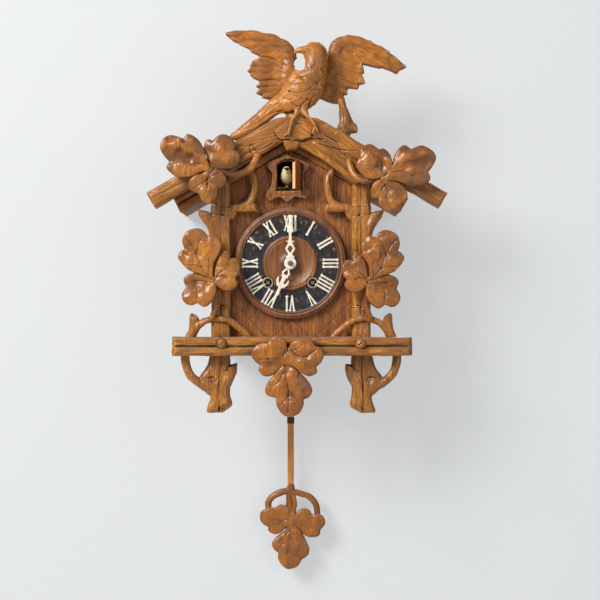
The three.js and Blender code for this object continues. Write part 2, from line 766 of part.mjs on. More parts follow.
function buildGoingTrain() {
  const { centre, third, escape, barrelTime } = ARBORS;
  const centreWheel = slabY(wheelTeeth(TRAINS.centre, bearing(centre, third)), -38, -40);
  const centrePinion = slabY(pinionLeaves(TRAINS.great, bearing(centre, barrelTime)), -66, -73.5);
  const shaft = rodY(2.2, PLATE_BACK_Y - GAP, -121.5, 10);
  const pivot = rodY(1, PLATE_BACK_Y + PLATE, PLATE_BACK_Y - 1, 6);
  add("centre_wheel", join(centreWheel, centrePinion, shaft, pivot), "brass", place(centre));

  const thirdWheel = slabY(wheelTeeth(TRAINS.third, bearing(third, escape)), -45, -46.5);
  const thirdPinion = slabY(pinionLeaves(TRAINS.centre, bearing(third, centre)), -36.5, -42.5);
  add("third_wheel", join(thirdWheel, thirdPinion, arbor(1.4)), "brass", place(third));

  const escapeTeeth = 30;
  const escapeTip = 10.5; // the pallets clear it all through their rocking
  const escapeRoot = 8.6;
  const rim = Array.from({ length: escapeTeeth * 2 }, (_, i) =>
    polar(i % 2 ? escapeRoot : escapeTip, ((i + (i % 2 ? -0.5 : 0)) * Math.PI) / escapeTeeth));
  const escapePinion = slabY(pinionLeaves(TRAINS.third, bearing(escape, third)), -43, -49);
  add("escape_wheel", join(slabY(rim, -56, -57.5), escapePinion, arbor(1.2)), "brass", place(escape));
}

function buildAnchor() {
  const pallets = [
    [-9.4, -9],
    [-6.6, -6.2],
    [-3.6, -3.2],
    [3.6, -3.2],
    [6.6, -6.2],
    [9.4, -9],
    [7.2, -2.5],
    [2.5, 2.6],
    [-2.5, 2.6],
    [-7.2, -2.5],
  ];
  const arborRod = join(rodY(1.3, -25.5, PLATE_FRONT_Y + GAP, 8), rodY(1, -40, PLATE_FRONT_Y - PLATE, 6));
  const crutch = box([-1.5, 1.5], [-29, -26.5], [-36, 1]);
  const fork = cut(box([-5.5, 5.5], [-29, -15], [-38, -34]), box([-3, 3], [-26.5, -14], [-40, -32]));
  add("anchor", join(slabY(pallets, -56, -57.5), arborRod, crutch, fork), "steel", place(ARBORS.anchor));
}

function buildStrikeTrain() {
  const { strike, fly, barrelStrike, hammer } = ARBORS;
  const wheel = slabY(wheelTeeth(TRAINS.strike, bearing(strike, fly)), -70, -71.5);
  const pinion = slabY(pinionLeaves(TRAINS.great, bearing(strike, barrelStrike)), -42, -48.5);
  add("strike_wheel", join(wheel, pinion, arbor(1.6)), "brass", place(strike));

  const flyPinion = slabY(pinionLeaves(TRAINS.strike, bearing(fly, strike)), -68.5, -73.5);
  const blade = box([-10, 10], [-60, -50], [-0.6, 0.6]);
  add("fly", join(flyPinion, blade, arbor(1.1)), "brass", place(fly));

  const rod = join(rodY(1.3, -25.5, PLATE_FRONT_Y + GAP, 8), rodY(1, -40, PLATE_FRONT_Y - PLATE, 6));
  const arm = tube([[0, -27, 0], [-8, -27, -25], [-21, -27, -52], [-21, -22, -60], [-21, -17, -61]], 1.2);
  const head = rodY(4, -9.5, -18, 10, -21, -61);
  add("hammer", join(rod, arm, head), "steel", place(hammer));
}

function buildSound() {
  const [gx, gz] = [-30, -45];
  const turns = 1.75;
  const steps = 16;
  const spiral = Array.from({ length: steps + 1 }, (_, i) => {
    const share = i / steps;
    const [x, z] = polar(4 + 26 * share, share * turns * 2 * Math.PI);
    return [gx + x, -11, gz + z];
  });
  const stand = rodY(5, BACK_PANEL_FRONT - GAP, -14, 8, gx, gz);
  add("gong", join(tube(spiral, 1.2), stand), "steel");

  for (const [name, side] of [["left", -1], ["right", 1]]) {
    const span = (a, b) => (side > 0 ? [a, b] : [-b, -a]);
    const pipe = box(span(67, 82.4), [-62, -36], [-70, 36]);
    const hollow = box(span(69, 80.4), [-60, -38], [-67, 33]);
    const mouth = box(span(79, 84), [-56, -42], [-4, 3]);
    add(`whistle_${name}`, cut(pipe, hollow, mouth), "paleWood");
    add(`bellows_${name}`, box(span(68, 81.4), [-61, -37], [36 + GAP, 48]), "bellowsPaper");
    add(`bellows_top_${name}`, box(span(67, 82.4), [-62, -36], [48 + GAP, 51.3]), "paleWood");
  }
}

function buildPendulum() {
  const hookBottom = -122;
  const eye = slabY(circle(4.6, 12, 0, PIVOT_Z - 1), PENDULUM_Y + 1.2, PENDULUM_Y - 1.2,
    [circle(2.6, 10, 0, PIVOT_Z - 0.9)]);
  const wire = rodZ(1.2, hookBottom, PIVOT_Z - 4.5);
  const hook = box([-4, 4], [PENDULUM_Y - 1, PENDULUM_Y + 1], [hookBottom - 2, hookBottom + 1]);
  add("pendulum_hook", join(eye, wire, hook), "steel");

  const rodTop = hookBottom - 2 - GAP;
  const rodBottom = -284;
  const rod = box([-4, 4], [PENDULUM_Y - 1.6, PENDULUM_Y + 1.6], [rodBottom, rodTop]);
  add("pendulum_rod", rod, "carvedWood");

  const back = PENDULUM_Y + 6;
  const front = PENDULUM_Y - 8;
  const twig = (side) => tube([[0, PENDULUM_Y, -288], [side * 16, PENDULUM_Y, -287],
    [side * 30, PENDULUM_Y, -297], [side * 33, PENDULUM_Y, -312]], 3.4);
  const blades = [
    [[-20.5, -318], [20, 19], 4, 0.6],
    [[23, -320], [20, 19], 4, 1],
    [[0, -349], [24, 34.5], 3, -Math.PI / 2],
  ].map(([centre, radii, lobes, turn]) => slabY(leaf(centre, radii, lobes, turn), back, front));
  const socket = box([-5, 5], [PENDULUM_Y - 5, PENDULUM_Y + 4], [-330, rodBottom - GAP]);
  add("pendulum_bob", join(twig(-1), twig(1), ...blades, socket), "carvedWood");
}

function rodZ(radius, zLow, zHigh) {
  return slabZ(circle(radius, 8, 0, PENDULUM_Y), zLow, zHigh);
}

buildCase();
buildRoof();
buildCarvedFrame();
buildLeaves();
buildOrnament();
buildBirdDoor();
buildDial();
buildHands();
buildPlates();
buildBarrels();
buildGoingTrain();
buildAnchor();
buildStrikeTrain();
buildSound();
buildPendulum();

export default clock;
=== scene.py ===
"""The looks of the carved wooden cuckoo clock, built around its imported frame.

Lengths are in mm until meshes are made.
"""
import math

import bpy
import numpy as np
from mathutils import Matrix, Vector


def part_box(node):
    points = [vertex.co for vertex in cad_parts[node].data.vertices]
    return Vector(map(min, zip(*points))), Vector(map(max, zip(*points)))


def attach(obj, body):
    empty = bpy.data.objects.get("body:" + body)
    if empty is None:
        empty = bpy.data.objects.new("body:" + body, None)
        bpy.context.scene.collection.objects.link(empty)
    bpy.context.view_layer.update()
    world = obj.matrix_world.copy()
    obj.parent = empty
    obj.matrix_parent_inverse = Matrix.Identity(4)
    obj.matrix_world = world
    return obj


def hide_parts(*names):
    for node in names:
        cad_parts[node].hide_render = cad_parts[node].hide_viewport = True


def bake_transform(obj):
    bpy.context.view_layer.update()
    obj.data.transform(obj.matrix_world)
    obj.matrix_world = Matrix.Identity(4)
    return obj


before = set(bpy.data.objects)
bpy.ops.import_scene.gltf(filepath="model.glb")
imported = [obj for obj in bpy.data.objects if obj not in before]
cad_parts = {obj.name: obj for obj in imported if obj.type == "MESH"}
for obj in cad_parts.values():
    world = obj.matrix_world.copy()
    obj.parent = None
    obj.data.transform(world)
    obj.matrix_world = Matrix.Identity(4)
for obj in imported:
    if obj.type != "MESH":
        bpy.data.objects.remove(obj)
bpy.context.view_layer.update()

MM = 0.001
FAR = 1e3  # a distance larger than any on the object
MEDIUM = 0.62  # grid steps of the carved solids
COARSE = 0.9
ROOF_SLOPE = math.radians(30)
ROOF_PEAK = 137.0  # underside of the roof at the ridge
KEY_HOLE = (26.8, -23.2)  # a winding hole's distance from the hands' axis
RELIEF_REACH = 5.0  # how far one row of a leaf's relief is felt
RELIEF_GAIN = 1.45
RIM_WIDTH = 6  # over which a leaf curls back at its outline


def cad(node):
    """A CAD node's lowest and highest corner in mm."""
    low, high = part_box(node)
    return np.array(low) / MM, np.array(high) / MM


# ---------------------------------------------------------------- solids as distance fields

CORNERS = [(i, j, k) for i in (0, 1) for j in (0, 1) for k in (0, 1)]
CELL_EDGES = [(a, b) for a in range(8) for b in range(a + 1, 8)
              if sum(abs(p - q) for p, q in zip(CORNERS[a], CORNERS[b])) == 1]


def soft_min(a, b, soft):
    """The lower of two distances, with the corner between them rounded."""
    if soft <= 0:
        return np.minimum(a, b)
    h = np.maximum(soft - np.abs(a - b), 0) / soft
    return np.minimum(a, b) - h * h * soft / 4


def soft_max(a, b, soft):
    """The higher of two distances, rounded in the same way."""
    return -soft_min(-a, -b, soft)


def rounded(u, w, edge):
    """The distance to a box-like corner of the distances u and w whose edge is rounded by that radius."""
    return np.minimum(np.maximum(u, w), 0) + np.hypot(np.maximum(u, 0), np.maximum(w, 0)) - edge


def curve(points, count=4):
    """A Catmull-Rom curve through the points; works on rows of any length."""
    rows = [np.array(p, float) for p in points]
    rows = [2 * rows[0] - rows[1]] + rows + [2 * rows[-1] - rows[-2]]
    out = []
    for p0, p1, p2, p3 in zip(rows, rows[1:], rows[2:], rows[3:]):
        for i in range(count):
            t = i / count
            out.append(0.5 * (2 * p1 + (p2 - p0) * t + (2 * p0 - 5 * p1 + 4 * p2 - p3) * t * t
                              + (3 * p1 - p0 - 3 * p2 + p3) * t ** 3))
    return out + [rows[-2]]


def segment_distance(x, z, a, b):
    """Distance to a segment in the x-z plane, and how far along it the nearest point is."""
    dx, dz = b[0] - a[0], b[1] - a[1]
    t = np.clip(((x - a[0]) * dx + (z - a[1]) * dz) / (dx * dx + dz * dz + 1e-9), 0, 1)
    return np.hypot(x - a[0] - t * dx, z - a[1] - t * dz), t


def polygon_distance(x, z, points):
    """Signed distance to a closed outline in the x-z plane, negative inside."""
    best = np.full(np.broadcast(x, z).shape, FAR, np.float32)
    inside = np.zeros(best.shape, bool)
    for a, b in zip(points, points[1:] + points[:1]):
        best = np.minimum(best, segment_distance(x, z, a, b)[0])
        crosses = (a[1] > z) != (b[1] > z)
        inside ^= crosses & (x < (b[0] - a[0]) * (z - a[1]) / (b[1] - a[1] + 1e-12) + a[0])
    return np.where(inside, -best, best)


class Carving:
    """A solid as a field of distances on a grid, negative inside. Parts are added, cut and pressed in."""

    def __init__(self, low, high, step):
        self.step = step
        self.low = np.array(low, float) - 2.5 * step
        counts = np.ceil((np.array(high, float) + 2.5 * step - self.low) / step).astype(int) + 1
        self.axes = [(self.low[k] + step * np.arange(counts[k])).astype(np.float32) for k in range(3)]
        self.field = np.full(counts, FAR, np.float32)

    def window(self, low, high, margin):
        """The grid's part around a box: its slices and its x, y and z."""
        cuts = []
        for k in range(3):
            start = int(np.clip(math.floor((low[k] - margin - self.low[k]) / self.step), 0,
                                len(self.axes[k])))
            stop = int(np.clip(math.ceil((high[k] + margin - self.low[k]) / self.step) + 1, 0,
                               len(self.axes[k])))
            cuts.append(slice(start, stop))
        shapes = [(-1, 1, 1), (1, -1, 1), (1, 1, -1)]
        return tuple(cuts), [self.axes[k][cuts[k]].reshape(shapes[k]) for k in range(3)]

    def whole(self):
        return self.window([-FAR] * 3, [FAR] * 3, 0)

    def put(self, cuts, distance, soft=0.0):
        self.field[cuts] = soft_min(self.field[cuts], distance, soft)

    def rod(self, a, b, ra, rb=None, soft=1.0, deep=1.0, cut=False):
        """A round rod from a to b whose radius goes from ra to rb. deep stretches its section along y."""
        rb = ra if rb is None else rb
        reach = max(ra, rb)
        size = np.array([reach, reach * max(deep, 1), reach])
        low, high = np.minimum(a, b) - size, np.maximum(a, b) + size
        cuts, (x, y, z) = self.window(low, high, 3 + soft)
        dx, dy, dz = b[0] - a[0], (b[1] - a[1]) / deep, b[2] - a[2]
        px, py, pz = x - a[0], (y - a[1]) / deep, z - a[2]
        t = np.clip((px * dx + py * dy + pz * dz) / (dx * dx + dy * dy + dz * dz + 1e-9), 0, 1)
        gap = np.sqrt((px - t * dx) ** 2 + (py - t * dy) ** 2 + (pz - t * dz) ** 2) - (ra + (rb - ra) * t)
        gap = gap * min(deep, 1.0) ** 0.5
        if cut:
            self.field[cuts] = soft_max(self.field[cuts], -gap, soft)
        else:
            self.put(cuts, gap, soft)

    def limb(self, rows, soft=1.2, deep=1.0, count=4):
        """A branch along rows of (x, y, z, radius)."""
        way = curve(rows, count)
        for p, q in zip(way, way[1:]):
            self.rod(p[:3], q[:3], p[3], q[3], soft, deep)

    def ball(self, centre, radii, soft=1.0, turn=0.0):
        """An ellipsoid, turned about y."""
        cuts, (x, y, z) = self.window(np.array(centre) - max(radii), np.array(centre) + max(radii), 3 + soft)
        c, s = math.cos(turn), math.sin(turn)
        px, pz = x - centre[0], z - centre[2]
        u, w = (c * px + s * pz) / radii[0], (c * pz - s * px) / radii[2]
        reach = np.sqrt(u * u + ((y - centre[1]) / radii[1]) ** 2 + w * w)
        self.put(cuts, (reach - 1) * min(radii), soft)

    def slab(self, outline, front, back, edge=1.0, soft=0.0, holes=()):
        """A board in the x-z plane with rounded edges."""
        points = np.array(outline)
        low = [points[:, 0].min(), front, points[:, 1].min()]
        high = [points[:, 0].max(), back, points[:, 1].max()]
        cuts, (x, y, z) = self.window(low, high, 4 + soft)
        side = polygon_distance(x, z, [tuple(p) for p in outline])
        for hole in holes:
            side = np.maximum(side, -polygon_distance(x, z, [tuple(p) for p in hole]))
        u, w = side + edge, np.abs(y - (front + back) / 2) - (back - front) / 2 + edge
        gap = rounded(u, w, edge)
        self.put(cuts, gap, soft)

    def trim(self, point, normal, soft=0.8):
        """Cuts away all that lies beyond a plane."""
        n = np.array(normal, float) / np.linalg.norm(normal)
        cuts, (x, y, z) = self.whole()
        gap = (x - point[0]) * n[0] + (y - point[1]) * n[1] + (z - point[2]) * n[2]
        self.field[cuts] = soft_max(self.field[cuts], gap, soft)

    def trim_near(self, point, normal, reach, soft=0.6):
        """The same within a ball around the point."""
        n = np.array(normal, float) / np.linalg.norm(normal)
        cuts, (x, y, z) = self.window(np.array(point) - reach, np.array(point) + reach, 0)
        gap = (x - point[0]) * n[0] + (y - point[1]) * n[1] + (z - point[2]) * n[2]
        far = np.sqrt((x - point[0]) ** 2 + (y - point[1]) ** 2 + (z - point[2]) ** 2)
        self.field[cuts] = np.where(far < reach, soft_max(self.field[cuts], gap, soft), self.field[cuts])

    def groove(self, points, width=0.9, depth=0.9, behind=None):
        """A carved line pressed into the front along points in x and z, down to the depth y = behind."""
        rows = np.array([p[:2] for p in points])
        low = [rows[:, 0].min(), -FAR, rows[:, 1].min()]
        high = [rows[:, 0].max(), FAR, rows[:, 1].max()]
        cuts, (x, y, z) = self.window(low, high, 3 * width)
        near = np.full(np.broadcast(x, z).shape, FAR, np.float32)
        for a, b in zip(rows, rows[1:]):
            near = np.minimum(near, segment_distance(x, z, a, b)[0])
        amount = depth * np.exp(-(near / width) ** 2)
        if behind is not None:
            amount = amount * (y < behind)
        self.field[cuts] += amount

    def scoop(self, points, depth=2.0, reach=6.0, behind=None):
        """Lowers the front on the left of a line, seen along it from in front, most at the line itself."""
        rows = np.array([p[:2] for p in points])
        low = [rows[:, 0].min(), -FAR, rows[:, 1].min()]
        high = [rows[:, 0].max(), FAR, rows[:, 1].max()]
        cuts, (x, y, z) = self.window(low, high, 3 * reach)
        near = np.full(np.broadcast(x, z).shape, FAR, np.float32)
        side = np.zeros_like(near)
        along = np.zeros_like(near)
        total = len(rows) - 1
        for i, (a, b) in enumerate(zip(rows, rows[1:])):
            gap, t = segment_distance(x, z, a, b)
            cross = (b[0] - a[0]) * (z - a[1]) - (b[1] - a[1]) * (x - a[0])
            closer = gap < near
            near = np.where(closer, gap, near)
            side = np.where(closer, cross, side)
            along = np.where(closer, (i + t) / total, along)
        ends = np.clip(np.sin(np.pi * np.clip(along, 0.02, 0.98)) * 2.5, 0, 1)
        amount = np.where(side > 0, np.exp(-near / reach) * (1 - np.exp(-(near / 0.5) ** 2)),
                          0) * depth * ends
        if behind is not None:
            amount = amount * (y < behind)
        self.field[cuts] += amount

    def stub(self, rows, point, normal, soft=1.0, edge=0.6):
        """A branch that ends in a flat cut."""
        kept = self.field
        self.field = np.full_like(kept, FAR)
        self.limb(rows, 0.3)
        self.trim(point, normal, edge)
        self.field = soft_min(kept, self.field, soft)

    def leaf(self, lobes, relief, front, thick=11.0, edge=1.8, rim=1.2, shift=(0, 0), side=1):
        """A leaf. Its outline is one curve a lobe, from notch to notch. The rows of relief are places x, z on
        its face and how far the face lies behind the front there."""
        outline = [(side * x + shift[0], z + shift[1]) for lobe in lobes for x, z in curve(lobe, 3)]
        spots = np.array(outline)
        low = [spots[:, 0].min(), front, spots[:, 1].min()]
        high = [spots[:, 0].max(), front + thick, spots[:, 1].max()]
        cuts, (x, y, z) = self.window(low, high, 4)
        gap = polygon_distance(x, z, outline)
        weight, total = 1e-6, 0
        for rx, rz, drop in relief:
            near = np.exp(-((x - side * rx - shift[0]) ** 2 + (z - rz - shift[1]) ** 2) / RELIEF_REACH ** 2)
            weight = weight + near
            total = total + near * drop
        face = front + 0.2 + RELIEF_GAIN * total / weight + rim * (1 - np.clip(-gap / RIM_WIDTH, 0, 1)) ** 2
        u, w = gap + edge, np.maximum(face - y, y - front - thick) + edge
        self.put(cuts, rounded(u, w, edge), 0.3)

    def bark(self, angle, amount, seed, spacings=(5.2, 8.5, 13)):
        """Irregular carved lines that run at that angle in the x-z plane."""
        random = np.random.default_rng(seed)
        _, (x, y, z) = self.whole()
        along, across = math.cos(angle) * x + math.sin(angle) * z, math.cos(angle) * z - math.sin(angle) * x
        total = 0
        for spacing in spacings:
            a, b, c = random.uniform(0, 6.3, 3)
            way = across + 1.6 * np.sin(along / 19 + a) + 0.7 * np.sin(along / 7 + b) + 0.25 * y
            line = (1 - np.abs(np.sin(math.pi * way / spacing + c))) ** (1.2 * spacing)
            total = total + line * np.clip(0.35 + np.sin(along / (3.1 * spacing) + way / 6 + b), 0,
                                           1) * (spacing / 9)
        self.field += (amount * total).astype(np.float32)

    def wobble(self, amount, size, seed=1, stretch=(1, 1, 1)):
        """Hand-carved unevenness: a sum of slanted waves of about that size."""
        random = np.random.default_rng(seed)
        _, (x, y, z) = self.whole()
        total = np.zeros_like(self.field)
        for _ in range(5):
            k = random.normal(size=3)
            k = k / np.linalg.norm(k) / (size * random.uniform(0.6, 1.5)) * 2 * math.pi / np.array(stretch)
            total += np.sin(k[0] * x + k[1] * y + k[2] * z + random.uniform(0, 6.3))
        self.field += (amount / 2.2) * total


def blurred(grid, radius):
    """A box blur over 2 * radius + 1 points along each axis."""
    for axis in range(3):
        pad = [(0, 0)] * 3
        pad[axis] = (radius + 1, radius)
        run = np.cumsum(np.pad(grid, pad, mode="edge"), axis=axis, dtype=np.float32)
        n = grid.shape[axis]
        upper = np.take(run, range(2 * radius + 1, 2 * radius + 1 + n), axis=axis)
        grid = (upper - np.take(run, range(n), axis=axis)) / (2 * radius + 1)
    return grid


def sampled(grid, spots):
    """The grid's values at fractional grid positions."""
    base = np.clip(np.floor(spots).astype(int), 0, np.array(grid.shape) - 2)
    part = spots - base
    total = np.zeros(len(spots), np.float32)
    for corner in CORNERS:
        at = base + corner
        share = np.prod(np.where(np.array(corner), part, 1 - part), axis=1)
        total += share * grid[at[:, 0], at[:, 1], at[:, 2]]
    return total


def net(field):
    """Surface nets: grid positions of the surface's points, and its quads."""
    inside = field < 0
    nx, ny, nz = field.shape
    parts = [inside[i:nx - 1 + i, j:ny - 1 + j, k:nz - 1 + k] for i, j, k in CORNERS]
    count = sum(p.astype(np.int8) for p in parts)
    cells = np.argwhere((count > 0) & (count < 8))
    index = np.full(count.shape, -1, np.int32)
    index[tuple(cells.T)] = np.arange(len(cells))
    values = np.stack([field[cells[:, 0] + i, cells[:, 1] + j, cells[:, 2] + k] for i, j, k in CORNERS], 1)
    total = np.zeros((len(cells), 3))
    hits = np.zeros(len(cells))
    for a, b in CELL_EDGES:
        va, vb = values[:, a], values[:, b]
        cross = (va < 0) != (vb < 0)
        t = np.where(cross, va / np.where(cross, va - vb, 1), 0)[:, None]
        pa, pb = np.array(CORNERS[a]), np.array(CORNERS[b])
        total += np.where(cross[:, None], pa + t * (pb - pa), 0)
        hits += cross
    spots = cells + total / hits[:, None]
    quads = []
    for axis in range(3):
        u, v = (axis + 1) % 3, (axis + 2) % 3
        size = field.shape[axis]
        low = np.take(inside, range(size - 1), axis=axis)
        high = np.take(inside, range(1, size), axis=axis)
        p = np.argwhere(low != high)
        p = p[(p[:, u] > 0) & (p[:, v] > 0) & (p[:, u] < field.shape[u] - 1) & (p[:, v] < field.shape[v] - 1)]
        du, dv = np.eye(3, dtype=int)[u], np.eye(3, dtype=int)[v]
        quad = np.stack([index[tuple((p - shift).T)] for shift in (0 * du, du, du + dv, dv)], 1)
        outward = low[tuple(p.T)]
        quads.append(np.where(outward[:, None], quad, quad[:, ::-1]))
    return spots, np.concatenate(quads)


def relaxed(spots, quads, rounds, share=0.5):
    """Moves each point part of the way to the middle of its neighbours, then part of the way back out."""
    a = np.concatenate([quads[:, i] for i in range(4)])
    b = np.concatenate([quads[:, (i + 1) % 4] for i in range(4)])
    a, b = np.concatenate([a, b]), np.concatenate([b, a])
    count = np.bincount(a, minlength=len(spots))[:, None]
    for i in range(rounds):
        for step in (share, -0.9 * share):
            middle = np.stack([np.bincount(a, spots[b, k], minlength=len(spots)) for k in range(3)],
                              1) / count
            spots = spots + step * (middle - spots)
    return spots


def mesh_object(name, points, faces, smooth=True):
    """An object from points in metres and faces that all have the same number of corners."""
    mesh = bpy.data.meshes.new(name)
    sides = faces.shape[1]
    mesh.vertices.add(len(points))
    mesh.vertices.foreach_set("co", np.asarray(points, np.float32).ravel())
    mesh.loops.add(len(faces) * sides)
    mesh.loops.foreach_set("vertex_index", faces.astype(np.int32).ravel())
    mesh.polygons.add(len(faces))
    mesh.polygons.foreach_set("loop_start", np.arange(0, len(faces) * sides, sides, dtype=np.int32))
    mesh.update(calc_edges=True)
    mesh.validate()
    mesh.shade_smooth() if smooth else mesh.shade_flat()
    thing = bpy.data.objects.new(name, mesh)
    bpy.context.scene.collection.objects.link(thing)
    return thing


def carved(name, solid, material, body, replaces, rounds=2):
    """The solid as a mesh that knows its creases (over 0.5) and edges (under 0.5) at two sizes."""
    for axis in range(3):
        for end in (0, -1):
            border = np.moveaxis(solid.field, axis, 0)[end]
            border[...] = np.maximum(border, solid.step / 2)
    spots, quads = net(solid.field)
    filled = np.clip(0.5 - solid.field / solid.step, 0, 1).astype(np.float32)
    creases = {"crease": sampled(blurred(filled, max(1, round(1.3 / solid.step))), spots),
               "hollow": sampled(blurred(filled, max(2, round(3.6 / solid.step))), spots)}
    spots = relaxed(spots, quads, rounds)
    thing = mesh_object(name, (solid.low + spots * solid.step) * MM, quads)
    for key, values in creases.items():
        layer = thing.data.attributes.new(key, "FLOAT", "POINT")
        layer.data.foreach_set("value", values.astype(np.float32))
    thing.data.materials.append(material)
    return dressed(thing, body, replaces)


def dressed(thing, body, replaces):
    """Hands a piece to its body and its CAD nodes."""
    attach(thing, body)
    if replaces:
        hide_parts(*replaces)
    return thing


# ---------------------------------------------------------------- materials

def srgb(r, g, b):
    """A linear colour from the usual 0 to 255 numbers."""
    parts = [c / 255 for c in (r, g, b)]
    return tuple(c / 12.92 if c <= 0.04045 else ((c + 0.055) / 1.055) ** 2.4 for c in parts) + (1.0,)


class Finish:
    """A material under construction: a Principled shader and what feeds it."""

    def __init__(self, name, **shader):
        self.material = bpy.data.materials.new(name)
        self.material.use_nodes = True
        self.tree = self.material.node_tree
        self.shader = self.tree.nodes["Principled BSDF"]
        for key, value in shader.items():
            self.shader.inputs[key.replace("_", " ")].default_value = value

    def node(self, kind, settings=None, **inputs):
        node = self.tree.nodes.new("ShaderNode" + kind)
        for key, value in (settings or {}).items():
            setattr(node, key, value)
        for key, value in inputs.items():
            self.feed(node.inputs[key.replace("_", " ")], value)
        return node

    def feed(self, socket, value):
        if isinstance(value, bpy.types.NodeSocket):
            self.tree.links.new(value, socket)
        else:
            socket.default_value = value

    def place(self, turn=(0, 0, 0), scale=(1, 1, 1), shift=(0, 0, 0)):
        """Coordinates in mm in the clock's frame, turned so that z runs with the grain, then scaled."""
        coordinates = self.node("TexCoord").outputs["Object"]
        turned = self.node("Mapping", Vector=coordinates, Rotation=turn)
        sized = self.node("Mapping", Vector=turned.outputs[0], Location=shift,
                          Scale=tuple(1000 * s for s in scale))
        return sized.outputs[0]

    def noise(self, place, scale=1.0, detail=4.0, rough=0.55, twist=0.0):
        return self.node("TexNoise", Vector=place, Scale=scale, Detail=detail, Roughness=rough,
                         Distortion=twist).outputs["Fac"]

    def math(self, how, a, b=0.0, clamp=False):
        node = self.node("Math", {"operation": how, "use_clamp": clamp})
        self.feed(node.inputs[0], a)
        self.feed(node.inputs[1], b)
        return node.outputs[0]

    def range(self, value, low, high, to_low=0.0, to_high=1.0):
        node = self.node("MapRange", {"interpolation_type": "SMOOTHSTEP"}, Value=value)
        for key, number in (("From Min", low), ("From Max", high), ("To Min", to_low), ("To Max", to_high)):
            self.feed(node.inputs[key], number)
        return node.outputs[0]

    def mix(self, factor, a, b, how="MIX"):
        node = self.node("Mix", {"data_type": "RGBA", "blend_type": how})
        self.feed(node.inputs[0], factor)
        self.feed(node.inputs[6], a)
        self.feed(node.inputs[7], b)
        return node.outputs[2]

    def known(self, name):
        return self.node("Attribute", {"attribute_name": name}).outputs["Fac"]

    def upward(self):
        normal = self.node("NewGeometry").outputs["Normal"]
        return self.node("SeparateXYZ", Vector=normal).outputs[2]

    def bump(self, height, strength, distance):
        node = self.node("Bump", Height=height, Strength=strength, Distance=distance * MM)
        self.feed(self.shader.inputs["Normal"], node.outputs[0])

    def done(self, color, roughness):
        self.feed(self.shader.inputs["Base Color"], color)
        self.feed(self.shader.inputs["Roughness"], roughness)
        return self.material


